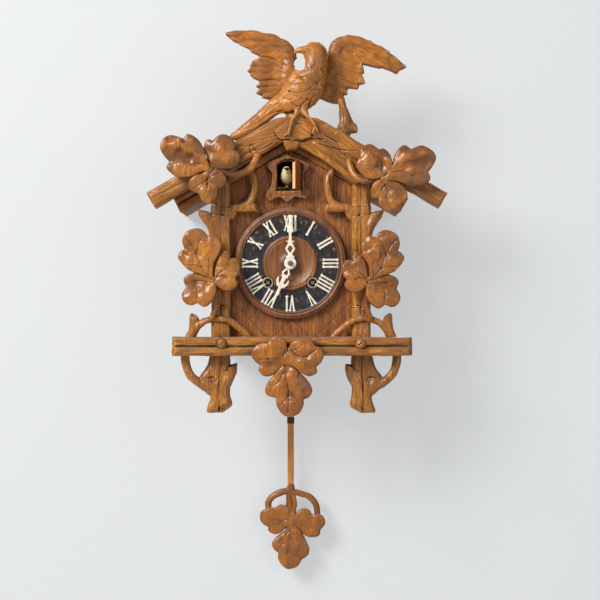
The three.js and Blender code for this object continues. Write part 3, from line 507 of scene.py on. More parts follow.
def wood(name, light, dark, turn=(0, 0, 0), ring=5.0, contrast=0.85, gloss=0.28, coat=0.24, carving=True,
         dust=0.7,
         streak=0.5, shift=(0, 0, 0), crease_shade_strength=1.0, relief=0.2, figure=0.15, fine=1.2, stained=0.55, face=None):
    """Varnished wood whose grain runs along z before the turn; ring is the width of its growth rings.

    Where face is given, the wood is darker the further it lies behind that y: painted shade.
    """
    f = Finish(name, Coat_Weight=coat, Coat_Roughness=0.2, Specular_IOR_Level=0.42)
    along = f.place(turn, (1, 1, 0.09), shift)
    warp = f.noise(f.place(turn, (0.03, 0.03, 0.012), shift), 1.0, 2.0)
    bent = f.node("Mapping", Vector=along)
    f.feed(bent.inputs["Location"], f.node("CombineXYZ", X=f.math("MULTIPLY", warp, 60.0)).outputs[0])
    rings = f.node("TexWave", {"wave_type": "BANDS", "bands_direction": "X", "wave_profile": "SAW"},
                   Vector=bent.outputs[0], Scale=0.31 / ring, Distortion=3.0, Detail=3.0).outputs["Fac"]
    rings.node.inputs["Detail Scale"].default_value = 0.4
    fibre = f.noise(f.place(turn, (fine, fine, 0.04), shift), 1.0, 4.0, 0.65)
    patch = f.noise(f.place(turn, (0.05, 0.05, 0.02), shift), 1.0, 3.0)
    pores = f.range(f.noise(f.place(turn, (1.7 * fine, 1.7 * fine, 0.1), shift), 1.0, 2.0, 0.7), 0.57, 0.70)
    stain = f.noise(f.place(turn, (0.032, 0.032, 0.02), shift), 1.0, 3.0, 0.5, 0.6)
    tone = f.math("ADD", f.math("MULTIPLY", rings, figure), f.math("MULTIPLY", fibre, 1 - figure))
    tone = f.range(tone, 0.34, 0.66)
    color = f.mix(f.math("MULTIPLY", tone, contrast, True), light, dark)
    color = f.mix(f.range(patch, 0.35, 0.65, 0.0, 0.45), color, dark)
    color = f.mix(f.range(stain, 0.5, 0.6, 0.0, stained), color, f.mix(0.3, dark, srgb(92, 66, 52)))
    color = f.mix(f.math("MULTIPLY", pores, streak), color, tuple(0.35 * c for c in dark[:3]) + (1,))
    rough = f.range(fibre, 0.2, 0.8, gloss - 0.04, gloss + 0.12)
    shade = tuple(0.5 * c for c in dark[:3]) + (1,)
    # painted shade: wood that lies a little behind a leaf's front is darkened
    if face is not None:
        y = f.node("SeparateXYZ", Vector=f.place()).outputs[1]
        sunk_shade = f.math("MULTIPLY", f.range(y, face + 1.5, face + 8), f.range(y, face + 14, face + 9))
        color = f.mix(f.math("MULTIPLY", sunk_shade, 0.7), color, shade)
    if carving:
        # painted shade: the colour is darkened where the ambient occlusion node finds surfaces close by
        near = f.node("AmbientOcclusion", {"samples": 3}, Distance=9 * MM).outputs["AO"]
        color = f.mix(f.range(near, 0.85, 0.25, 0, 0.8), color, shade)
        # painted shade: creases and hollows of the carving are darkened towards dark brown, more in some
        # places than others as the noise varies
        crease_shade_noise = f.noise(f.place((0, 0, 0), (0.25, 0.25, 0.25)), 1.0, 4.0)
        crease = f.range(f.known("crease"), 0.54, 0.76)
        hollow = f.range(f.known("hollow"), 0.53, 0.80)
        deep = f.math("ADD", f.math("MULTIPLY", crease, 0.85), f.math("MULTIPLY", hollow, 0.8), True)
        deep = f.math("MULTIPLY", deep, f.range(crease_shade_noise, 0.2, 0.6, 0.65, crease_shade_strength))
        color = f.mix(deep, color, srgb(46, 22, 8))
        # raised edges are lightened towards a pale orange: partly rubbed wear, partly a painted highlight
        worn = f.range(f.known("crease"), 0.45, 0.28)
        color = f.mix(f.math("MULTIPLY", worn, 0.5), color, f.mix(0.5, light, srgb(228, 166, 100)))
        rough = f.math("ADD", rough, f.math("MULTIPLY", deep, 0.25), True)
    if dust:
        film = f.noise(f.place((0, 0, 0), (0.16, 0.16, 0.16), (3, 5, 7)), 1.0, 5.0, 0.65)
        settled = f.math("MULTIPLY", f.range(f.upward(), 0.45, 0.95), f.range(film, 0.3, 0.62, 0.45, 1.0))
        settled = f.math("MULTIPLY", settled, dust)
        color = f.mix(settled, color, srgb(128, 112, 106))
        rough = f.math("ADD", rough, f.math("MULTIPLY", settled, 0.35), True)
    height = f.math("SUBTRACT", fibre, f.math("MULTIPLY", pores, 0.8))
    f.bump(height, 0.5, relief)
    return f.done(color, rough)


CARVED_LIGHT = srgb(206, 134, 52)
CARVED_DARK = srgb(122, 72, 22)
TILT_LEFT = math.radians(-60)
TILT_RIGHT = math.radians(60)
upright = wood("wood_upright", CARVED_LIGHT, CARVED_DARK)
level = wood("wood_level", CARVED_LIGHT, CARVED_DARK, (0, math.radians(90), 0))
slope_left = wood("wood_slope_left", CARVED_LIGHT, CARVED_DARK, (0, TILT_LEFT, 0), shift=(40, 0, 0))
slope_right = wood("wood_slope_right", CARVED_LIGHT, CARVED_DARK, (0, TILT_RIGHT, 0), shift=(90, 0, 0))
SIDE_FACE = cad("side_leaves_left")[0][1]
leaf_left = wood("wood_leaf_left", srgb(208, 134, 52), srgb(142, 84, 28), (0, math.radians(-35), 0), ring=4.4,
                 figure=0.22, contrast=0.75, streak=0.3, face=SIDE_FACE)
# painted shade: the right-hand side leaves get a darker copy of the left-hand leaves' wood
leaf_right_shaded = wood("wood_leaf_right_shaded", srgb(186, 114, 40), srgb(128, 74, 24), (0, math.radians(35), 0),
                  ring=4.4,
                  figure=0.2, contrast=0.75, streak=0.3, face=SIDE_FACE)
leaf_eaves = wood("wood_leaf_eaves", srgb(198, 124, 46), srgb(118, 68, 24), (0, math.radians(-25), 0),
                  ring=4.4,
                  figure=0.2, contrast=0.75, streak=0.4, shift=(8, 0, 0), stained=0.7, dust=0.6,
                  face=cad("eave_leaves_left")[0][1])
leaf_down = wood("wood_leaf_down", srgb(200, 124, 42), srgb(132, 74, 20), ring=4.6,
                 figure=0.2, contrast=0.75, streak=0.3, face=cad("bottom_leaves")[0][1])
leaf_bob = wood("wood_leaf_bob", srgb(192, 118, 42), srgb(128, 74, 22), ring=4.6,
                figure=0.2, contrast=0.75, streak=0.3, shift=(30, 0, 20), face=cad("pendulum_bob")[0][1])
plumage = wood("wood_bird", srgb(216, 140, 54), srgb(134, 80, 28), (0, math.radians(-30), 0), ring=4.0,
               gloss=0.4, coat=0.14, dust=0.25, figure=0.05)
wing_wood = {side: wood(name, srgb(204, 128, 44), srgb(126, 72, 22), (0, math.radians(side * 62), 0),
                        ring=4.0,
                        gloss=0.36, coat=0.16, dust=0.25, figure=0.05)
             for side, name in ((-1, "wood_wing_left"), (1, "wood_wing_right"))}
board = wood("wood_front_board", srgb(194, 118, 52), srgb(110, 60, 23), ring=9.0, contrast=1.0, gloss=0.42,
             coat=0.1,
             streak=0.9, dust=0.25, crease_shade_strength=0.9, relief=0.35, figure=0.1, fine=0.75, stained=0.3)
LATTICE = 36.0 * math.sqrt(2)  # along x, from one incised line to the next
LATTICE_STARTS = (-33.4, -14.5)
surround_wood = wood("wood_surround", srgb(170, 104, 48), srgb(102, 58, 24), gloss=0.44, coat=0.1, dust=0.3)
rod_wood = wood("wood_rod", srgb(216, 148, 78), srgb(156, 96, 44), stained=0.1, dust=0)
roofing = wood("wood_roof", srgb(206, 132, 62), srgb(134, 78, 30), (math.radians(90), 0, 0), ring=8.0,
               gloss=0.42, coat=0.12, dust=0.5)
casing = wood("wood_case", srgb(150, 104, 60), srgb(106, 66, 36), ring=9.0, gloss=0.45, coat=0.1,
              carving=False, dust=0.3)
door_wood = wood("wood_bird_door", srgb(190, 112, 56), srgb(110, 54, 20), gloss=0.4, carving=False, dust=0)
pale = wood("wood_pale", srgb(212, 178, 124), srgb(176, 138, 88), ring=6.0, contrast=0.7, gloss=0.5, coat=0.0,
            carving=False, dust=0.2, streak=0.2)


def lattice(f, color, spacing, width, starts):
    """Thin dark incised lines at 45 degrees, both ways."""
    parts = f.node("SeparateXYZ", Vector=f.place())
    x, z = parts.outputs[0], parts.outputs[2]
    for way, start in ((1, starts[0]), (-1, starts[1])):
        run = f.math("SUBTRACT", f.math("SUBTRACT", x, f.math("MULTIPLY", z, way)), start - spacing / 2)
        gap = f.math("ABSOLUTE", f.math("SUBTRACT", f.math("FLOORED_MODULO", run, spacing), spacing / 2))
        color = f.mix(f.range(gap, width * 1.6, width * 0.5, 0, 0.6), color, srgb(50, 28, 16))
    return color


def dial_finish():
    """Turned wood: dusty rim, ring of worn black paint and polished boss, told apart by radius."""
    f = Finish("dial_turned", Coat_Weight=0.1, Coat_Roughness=0.25)
    parts = f.node("SeparateXYZ", Vector=f.place())
    x, z = parts.outputs[0], parts.outputs[2]
    radius = f.math("SQRT", f.math("ADD", f.math("MULTIPLY", x, x), f.math("MULTIPLY", z, z)))
    grain = f.noise(f.place((0, 0, 0), (0.9, 0.9, 0.05)), 1.0, 4.0)
    figure = f.noise(f.place((0, 0, 0), (0.16, 0.16, 0.02)), 1.0, 3.0, 0.5, 1.0)
    boss = f.mix(f.range(figure, 0.3, 0.7), srgb(154, 94, 44), srgb(114, 66, 30))
    boss = f.mix(f.range(grain, 0.4, 0.75, 0, 0.2), boss, srgb(88, 44, 20))
    # painted shade: the boss is darker towards its middle, where the dish lies deepest
    boss = f.mix(f.math("MULTIPLY", f.range(radius, 18, 10), 0.75), boss, srgb(70, 36, 16))
    rim = f.mix(f.range(figure, 0.3, 0.7), srgb(150, 94, 50), srgb(102, 58, 28))
    rim = f.mix(f.range(grain, 0.4, 0.7, 0, 0.3), rim, srgb(128, 84, 54))
    lip = f.math("MULTIPLY", f.range(radius, 60.6, 59.6), f.range(radius, 57.0, 58.4))
    rim = f.mix(f.math("MULTIPLY", lip, f.range(grain, 0.3, 0.6, 0.3, 0.9)), rim, srgb(96, 48, 22))
    mottle = f.noise(f.place((0, 0, 0), (0.14, 0.14, 0.1)), 1.0, 5.0, 0.65)
    paint = f.mix(f.range(mottle, 0.4, 0.72), srgb(13, 13, 17), srgb(40, 43, 56))
    scratch = f.noise(f.place((0, 0, 0), (0.36, 0.36, 0.15), (11, 0, 4)), 1.0, 3.0, 0.5)
    worn = f.range(scratch, 0.61, 0.65)
    fine = f.range(f.noise(f.place((0, 0, 0), (1.1, 1.1, 0.35)), 1.0, 3.0), 0.64, 0.7)
    paint = f.mix(f.math("MULTIPLY", f.math("ADD", worn, f.math("MULTIPLY", fine, 0.5), True), 0.85), paint,
                  srgb(150, 92, 58))
    on_ring = f.math("MULTIPLY", f.range(radius, 57.9, 57.5), f.range(radius, 32.4, 33.0))
    color = f.mix(f.range(radius, 45, 46), boss, rim)
    color = f.mix(on_ring, color, paint)
    # painted shade: the turned grooves and inner corners are darkened
    crease = f.range(f.known("crease"), 0.53, 0.74)
    color = f.mix(f.math("MULTIPLY", crease, 0.8), color, srgb(30, 16, 10))
    settled = f.math("MULTIPLY", f.range(f.upward(), 0.3, 0.9), 0.55)
    color = f.mix(settled, color, srgb(136, 120, 114))
    rough = f.math("ADD", f.math("MULTIPLY", on_ring, 0.08), f.range(grain, 0.3, 0.7, 0.38, 0.52))
    lumps = f.math("MULTIPLY", f.math("MULTIPLY", f.noise(f.place((0, 0, 0), (0.5, 0.5, 0.3)), 1.0, 3.0),
                                      on_ring), 2.5)
    f.bump(f.math("ADD", f.math("ADD", grain, lumps), f.math("MULTIPLY", worn, -0.8)), 0.4, 0.2)
    return f.done(color, rough)


def bone_finish():
    """Aged bone with fine dark pores."""
    f = Finish("bone_aged", Specular_IOR_Level=0.5, Coat_Weight=0.2, Coat_Roughness=0.2)
    f.shader.inputs["Subsurface Weight"].default_value = 0.08
    f.shader.inputs["Subsurface Scale"].default_value = 0.0008
    stain = f.noise(f.place((0, 0, 0), (0.22, 0.22, 0.22)), 1.0, 5.0, 0.6)
    lines = f.noise(f.place((0, 0, 0), (1.8, 1.8, 0.3)), 1.0, 3.0)
    color = f.mix(f.range(stain, 0.4, 0.75), srgb(240, 234, 216), srgb(214, 200, 166))
    color = f.mix(f.range(lines, 0.58, 0.75, 0, 0.3), color, srgb(180, 160, 120))
    color = f.mix(f.range(f.known("crease"), 0.55, 0.8, 0, 0.6), color, srgb(150, 124, 84))
    f.bump(lines, 0.25, 0.1)
    return f.done(color, f.range(stain, 0.3, 0.7, 0.34, 0.5))


def metal_finish(name, bright, dull, roughness):
    """Aged metal with brushed lines and stains."""
    f = Finish(name, Metallic=1.0)
    stain = f.noise(f.place((0, 0, 0), (0.12, 0.12, 0.12)), 1.0, 6.0, 0.65)
    brushed = f.noise(f.place((0, 0, 0), (0.2, 2.5, 2.5)), 1.0, 2.0)
    color = f.mix(f.range(stain, 0.35, 0.7), bright, dull)
    f.bump(brushed, 0.2, 0.06)
    return f.done(color, f.range(stain, 0.3, 0.75, roughness, roughness + 0.25))


def painted_finish(name, color_a, color_b, roughness):
    """Matte paint or paper with blotches and fine texture."""
    f = Finish(name)
    blotch = f.noise(f.place((0, 0, 0), (0.3, 0.3, 0.3)), 1.0, 5.0, 0.6)
    tooth = f.noise(f.place((0, 0, 0), (2.2, 2.2, 2.2)), 1.0, 3.0)
    color = f.mix(f.range(blotch, 0.35, 0.7), color_a, color_b)
    f.bump(tooth, 0.3, 0.15)
    return f.done(color, f.range(tooth, 0.3, 0.7, roughness - 0.08, roughness + 0.08))


dial_wood = dial_finish()
bone = bone_finish()
brass = metal_finish("brass_aged", srgb(206, 172, 96), srgb(138, 104, 54), 0.28)
old_brass = metal_finish("brass_dark", srgb(112, 84, 50), srgb(54, 38, 24), 0.42)
old_steel = metal_finish("steel_dark", srgb(118, 112, 104), srgb(66, 58, 50), 0.42)
steel = metal_finish("steel_aged", srgb(170, 170, 172), srgb(104, 98, 92), 0.3)
wire = metal_finish("steel_wire", srgb(120, 116, 110), srgb(70, 62, 54), 0.4)
paper = painted_finish("paper_folded", srgb(214, 204, 176), srgb(184, 168, 132), 0.8)
grey_bone = painted_finish("bone_grey", srgb(176, 164, 138), srgb(122, 108, 84), 0.35)
cream = painted_finish("paint_cream", srgb(224, 216, 172), srgb(206, 196, 140), 0.5)
beak_paint = painted_finish("paint_beak", srgb(60, 52, 48), srgb(34, 28, 24), 0.45)
mouth_paint = painted_finish("paint_mouth", srgb(206, 168, 136), srgb(180, 130, 100), 0.5)


# ---------------------------------------------------------------- leaves

def veins(solid, lines, behind, side=1, shift=(0, 0), width=0.7, depth=1.1):
    """The cut veins of a leaf, mirrored for side -1."""
    for line in lines:
        solid.groove([(side * x + shift[0], z + shift[1]) for x, z in curve(line, 4)], width, depth, behind)


def drilled(solid, spots, front, side=1, shift=(0, 0)):
    """Small round holes in the front of a leaf group."""
    for x, z in spots:
        x, z = side * x + shift[0], z + shift[1]
        solid.rod((x, front - 2, z), (x, front + 7, z), 0.75, 0.55, 0.3, cut=True)


def eave_leaves(side):
    """Three leaves and their twig at the end of an eave."""
    low, high = cad(f"eave_leaves_{'left' if side < 0 else 'right'}")
    front, back = low[1], high[1]
    if side < 0:
        solid = Carving([-158, front, 62], [-36, back, 156], MEDIUM)
        solid.limb([(-38, -122, 132, 4.4), (-44, -127, 116, 4.4), (-55, -131, 107, 4.2),
                    (-66, -134, 104.5, 4), (-76, -137, 106, 3.6), (-86, -139, 110, 3)])
        solid.rod((-95, front + 12, 108), (-92, -127, 104), 9, 10, 2)
        solid.leaf([[(-101, 133), (-106, 143), (-114, 150), (-121.5, 151.8), (-125.5, 146.6)],
                    [(-125.5, 146.6), (-136.5, 150.6), (-147.5, 148.5), (-153.3, 138), (-150.8, 129),
                     (-142.8, 118.5)],
                    [(-142.8, 118.5), (-146.2, 113), (-141.4, 106.3), (-132, 101), (-117, 101.3),
                     (-105, 106.5), (-92, 108)]],
                   [(-140, 148, 4), (-150, 140, 1.6), (-135, 140, 0.2), (-120, 148, 3.8), (-114, 139, 1.8),
                    (-108, 143, 3.6), (-120, 133, 0), (-104, 131, 2.6), (-106, 124, 0), (-142, 130, 3.2),
                    (-130, 127, 4.6), (-119, 123.5, 4.6), (-109, 118.5, 3.4), (-99, 113, 1.6),
                    (-92, 111, 1.2), (-139, 112, 3.2), (-130, 111, 1.4), (-120, 108, 0.8), (-108, 110, 1.2),
                    (-141, 121, 4.8)], front)
        solid.leaf([[(-96, 118), (-102.5, 133), (-100.5, 143.5), (-96, 146), (-91.1, 144.4)],
                    [(-91.1, 144.4), (-84, 150.5), (-76, 151.5), (-68.6, 147.6), (-64.3, 140),
                     (-64.8, 132.6)],
                    [(-64.8, 132.6), (-58.8, 127), (-60, 117.5), (-68.6, 110.9), (-80, 109.8), (-91, 110.5)]],
                   [(-97, 142, 5.4), (-99, 133, 5.6), (-94, 126, 4.6), (-90, 138, 2.6), (-83, 146, 3.2),
                    (-74, 146, 4), (-81, 134, 0), (-72, 136, 2.6), (-67, 139, 5), (-70, 125, 0),
                    (-62, 124, 2.8), (-66, 116, 2.8), (-78, 119, 0.8), (-86, 124, 1.2), (-91, 117, 3.6),
                    (-80, 112, 3.2)], front)
        solid.leaf([[(-92, 110), (-104, 106.4), (-113, 102.6), (-119.5, 96), (-118.7, 87), (-108.3, 81.2)],
                    [(-108.3, 81.2), (-104, 73), (-95, 69.2), (-86.5, 76), (-84.2, 86.4)],
                    [(-84.2, 86.4), (-77, 91), (-75, 99), (-79, 107), (-88, 111.5)]],
                   [(-94, 107, 2), (-113, 98, 1.2), (-117, 90, 3), (-110, 86, 3), (-103, 99, 2.6),
                    (-105, 91, 1.6), (-99, 97, 3.6), (-98, 88, 1), (-101, 84, 0), (-96, 76, 2),
                    (-104, 78, 2.6), (-89, 80, 2.2), (-90, 99, 1.2), (-81, 102, 2), (-80, 95, 1.6),
                    (-86, 91, 1.6), (-95, 93, 3)], front)
        veins(solid, [[(-90, 111), (-97, 115), (-108, 117), (-116, 115.5), (-121, 112.5)],
                      [(-133, 141), (-135, 149)], [(-89, 110), (-95, 103), (-98, 97), (-97, 92)],
                      [(-98, 98), (-90, 103), (-82, 106)], [(-98, 97), (-106, 92), (-112, 88)],
                      [(-97, 93), (-98, 83)], [(-96, 118), (-100, 128)]], -132)
        drilled(solid, [(-101, 85), (-98, 98)], front)
    else:
        solid = Carving([66, front, 55], [176, back, 144], MEDIUM)
        solid.limb([(70, -122, 121, 4.2), (73, -127, 110, 4.2), (79, -131, 101, 4), (88, -134, 97, 3.6),
                    (98, -137, 98, 3.2), (106, -139, 99, 2.8)])
        solid.rod((110, front + 12, 101), (106, -127, 98), 9, 10, 2)
        solid.leaf([[(111, 99), (100, 97.9), (89, 100), (81, 108), (78, 115.5), (81.5, 125)],
                    [(81.5, 125), (83, 134), (89, 139.4), (97, 139.8), (105.2, 133.7)],
                    [(105.2, 133.7), (110, 135.3), (116.4, 129.8), (120.3, 119.5), (120, 110), (114, 102)]],
                   [(90, 136, 4), (98, 135, 3.6), (84, 130, 3), (92, 126, 0.4), (82, 116, 1.8), (90, 115, 0),
                    (99, 118, 0.4), (86, 106, 2.8), (95, 104, 1.8), (102, 107, 1.6), (104, 125, 2.8),
                    (107, 117, 4.6), (108, 112, 4), (111, 127, 3.2), (115, 120, 1.4), (117, 113, 1.8),
                    (112, 131, 4), (106, 104, 2.4), (112, 107, 2.2)], front)
        solid.leaf([[(112, 104), (121, 116), (122.5, 125), (128, 134.5), (135.4, 139), (143.1, 134)],
                    [(143.1, 134), (155.4, 138.8), (167.5, 132.4), (172, 123.5), (168, 114), (162.5, 106.7)],
                    [(162.5, 106.7), (165.3, 100), (162.3, 94.4), (152, 91), (138, 91.4), (125, 96),
                     (111, 96.5)]],
                   [(136, 135, 3.2), (128, 128, 2.2), (137, 127, 0.4), (124, 118, 2), (150, 134, 2.2),
                    (160, 134, 3), (168, 126, 3), (156, 128.5, 0.6), (146, 125, 0.2), (132, 117, 0.8),
                    (158, 120, 4), (148, 117, 4.6), (138, 113, 3.8), (128, 110, 2.4), (160, 112, 2.4),
                    (151, 110, 0.4), (142, 108.5, 0.4), (147, 103, 2.4), (136, 104.5, 2.6), (125, 106, 2),
                    (160, 100, 2), (151, 98, 0.8), (140, 98, 0.8), (129, 102, 0.4), (118, 102, 0.8),
                    (145, 93, 3)], front)
        solid.leaf([[(108, 100), (99, 95), (94.8, 85), (96, 77), (103.9, 75.4)],
                    [(103.9, 75.4), (104.5, 68), (110, 61.5), (117, 59.2), (124.2, 64.1)],
                    [(124.2, 64.1), (134.6, 71), (138.5, 78), (135.5, 87.5), (127, 95), (116, 98)]],
                   [(100, 90, 2.2), (98, 82, 3), (106, 93, 2), (110, 97, 1.8), (112, 88, 3.4), (104, 80, 2),
                    (108, 72, 1.2), (114, 77, 3), (115, 66, 1.8), (122, 70, 1), (120, 80, 1), (128, 88, 1.2),
                    (132, 80, 1.6), (128, 72, 2.4), (120, 90, 2), (110, 64, 3), (115, 84, 2.8)], front)
        veins(solid, [[(118, 106.5), (125, 107), (132, 107.5), (146, 102)],
                      [(109, 107), (108, 118), (103, 125)],
                      [(106, 98), (112, 91), (115, 84), (113, 77)], [(112, 92), (120, 88), (127, 85)],
                      [(111, 90), (107, 85)], [(104, 98), (113, 104), (119, 109)]], -132)
        drilled(solid, [(108, 113.5), (106.5, 109.3), (113, 77)], front)
    solid.wobble(0.18, 9, 3)
    side_name = "left" if side < 0 else "right"
    carved(f"carved_eave_leaves_{side_name}", solid, leaf_eaves, "case", [f"eave_leaves_{side_name}"])


def side_leaves(side):
    """Three leaves beside the dial."""
    name = "left" if side < 0 else "right"
    low, high = cad(f"side_leaves_{name}")
    front, back = low[1], high[1]
    shift = (0, 0) if side < 0 else (2.2, -2)
    turn = 1 if side < 0 else -1
    spread = sorted((turn * -135, turn * -57))
    solid = Carving([spread[0] + shift[0], front, -68], [spread[1] + shift[0], back, 44], MEDIUM)

    def leaf(lobes, relief):
        solid.leaf(lobes, relief, front, shift=shift, side=turn)

    leaf([[(-108, -13), (-120, -8.6), (-128.5, -0.5), (-133, 7), (-130, 13.3), (-125.3, 16.7)],
          [(-125.3, 16.7), (-127.8, 26), (-123.5, 36), (-113, 41.1), (-104, 39), (-97.8, 32.6)],
          [(-97.8, 32.6), (-90.2, 34.3), (-83.5, 28.5), (-81.2, 19), (-84.5, 9.5), (-90, 0), (-91, -10),
           (-90, -21)]],
         [(-127, 5, 2.8), (-118, 4, 0.6), (-122, 14, 3.4), (-110, -3, 1), (-113, 4, 1.8), (-118, -5, 1.8),
          (-124, 26, 2.2), (-120, 32, 0.8), (-113, 38, 2.6), (-116, 22, 2.8), (-111, 12, 3.4),
          (-112, 30, 0.2), (-108, 20, 1.6), (-106, 34, 2.2), (-103, 23, 0), (-99, 30, 2.4), (-98, 12, 0.2),
          (-92, 26, 0.6), (-86, 20, 1.6), (-90, 8, 0.8), (-105, -5, 3.2), (-99, -3, 1), (-97, -15, 2.8),
          (-93, -8, 1), (-88, 29, 3), (-91, -18, 2), (-103, -11, 1)])
    leaf([[(-89.8, -22), (-89.3, -7), (-85, 7), (-76.5, 15), (-71, 9.5), (-71.8, 5.3)],
          [(-71.8, 5.3), (-63.5, 5.5), (-59.2, -2), (-60.2, -12), (-64.6, -18.1)],
          [(-64.6, -18.1), (-61.8, -25), (-68, -32), (-78, -33.2), (-87, -27)]],
         [(-84, 4, 3.2), (-76, 11, 4.6), (-80, 2, 2.6), (-66, 2, 4.2), (-75, -2, 3.6), (-63, -6, 3.2),
          (-70, -6, 3), (-84, -8, 3.2), (-87, -14, 2.6), (-78, -10.5, 0.8), (-70, -12.5, 0),
          (-79, -17, 1.8), (-66, -16, 1.5), (-71, -24, 0), (-78, -26, 0.2), (-84, -22, 1.2),
          (-66, -28, 2.6), (-76, -31, 2.4), (-87, -21, 1.8)])
    leaf([[(-90, -21), (-98, -17.6), (-109, -12.2), (-119, -12.5), (-126.7, -19.5), (-123.4, -29)],
          [(-123.4, -29), (-128.2, -37), (-126, -46), (-118, -50.3), (-109.7, -47.5)],
          [(-109.7, -47.5), (-102, -52.2), (-93.5, -47), (-87.5, -36), (-87, -25)]],
         [(-122, -18, 4.4), (-112, -14, 3.4), (-104, -17.5, 2.6), (-97, -20, 2), (-118, -23, 4.4),
          (-110, -25, 5.2), (-101, -25, 4.6), (-92, -24, 2.4), (-122, -34, 3), (-118, -41, 0.8),
          (-120, -46, 2), (-112, -44, 1.6), (-110, -34, 2.4), (-102, -41, 0.2), (-100, -47, 1.8),
          (-94, -38, 1), (-92, -30, 1.6), (-104, -31, 2.4)])
    solid.rod((turn * -91 + shift[0], front + 10, -22), (turn * -90 + shift[0], back - 1, -20), 6.5, 8, 1.5)
    solid.limb([(turn * x + shift[0], y, z, r) for x, y, z, r in
                [(-91, -134, -27, 3.4), (-88.5, -129, -38, 3.3), (-88, -125, -50, 3.1),
                 (-90.5, -123, -58, 2.9), (-93.5, -122.5, -65, 2.6)]])
    inner = front + 9
    veins(solid, [[(-90, -21), (-97, -15), (-105, -5), (-111, 11), (-117, 22), (-124, 30)],
                  [(-111, 11), (-108, 23), (-104, 28)], [(-105, -5), (-113, -3), (-124, -2.5)],
                  [(-97, -15), (-95.5, -4), (-96, 4)], [(-120, 9.5), (-126, 13)],
                  [(-90, -22), (-87, -16.5), (-82.5, -11), (-75, -7)],
                  [(-87, -16.5), (-80, -15.5), (-74, -18)],
                  [(-91, -23), (-100, -22), (-115, -21.5)], [(-110, -30), (-110, -42)]], inner, turn, shift)
    drilled(solid, [(-97, -15), (-105, -5), (-111, 11), (-87, -16.5), (-99, -23.5)], front, turn, shift)
    solid.wobble(0.18, 9, 5)
    carved(f"carved_side_leaves_{name}", solid, leaf_left if side < 0 else leaf_right_shaded, "case",
           [f"side_leaves_{name}"])


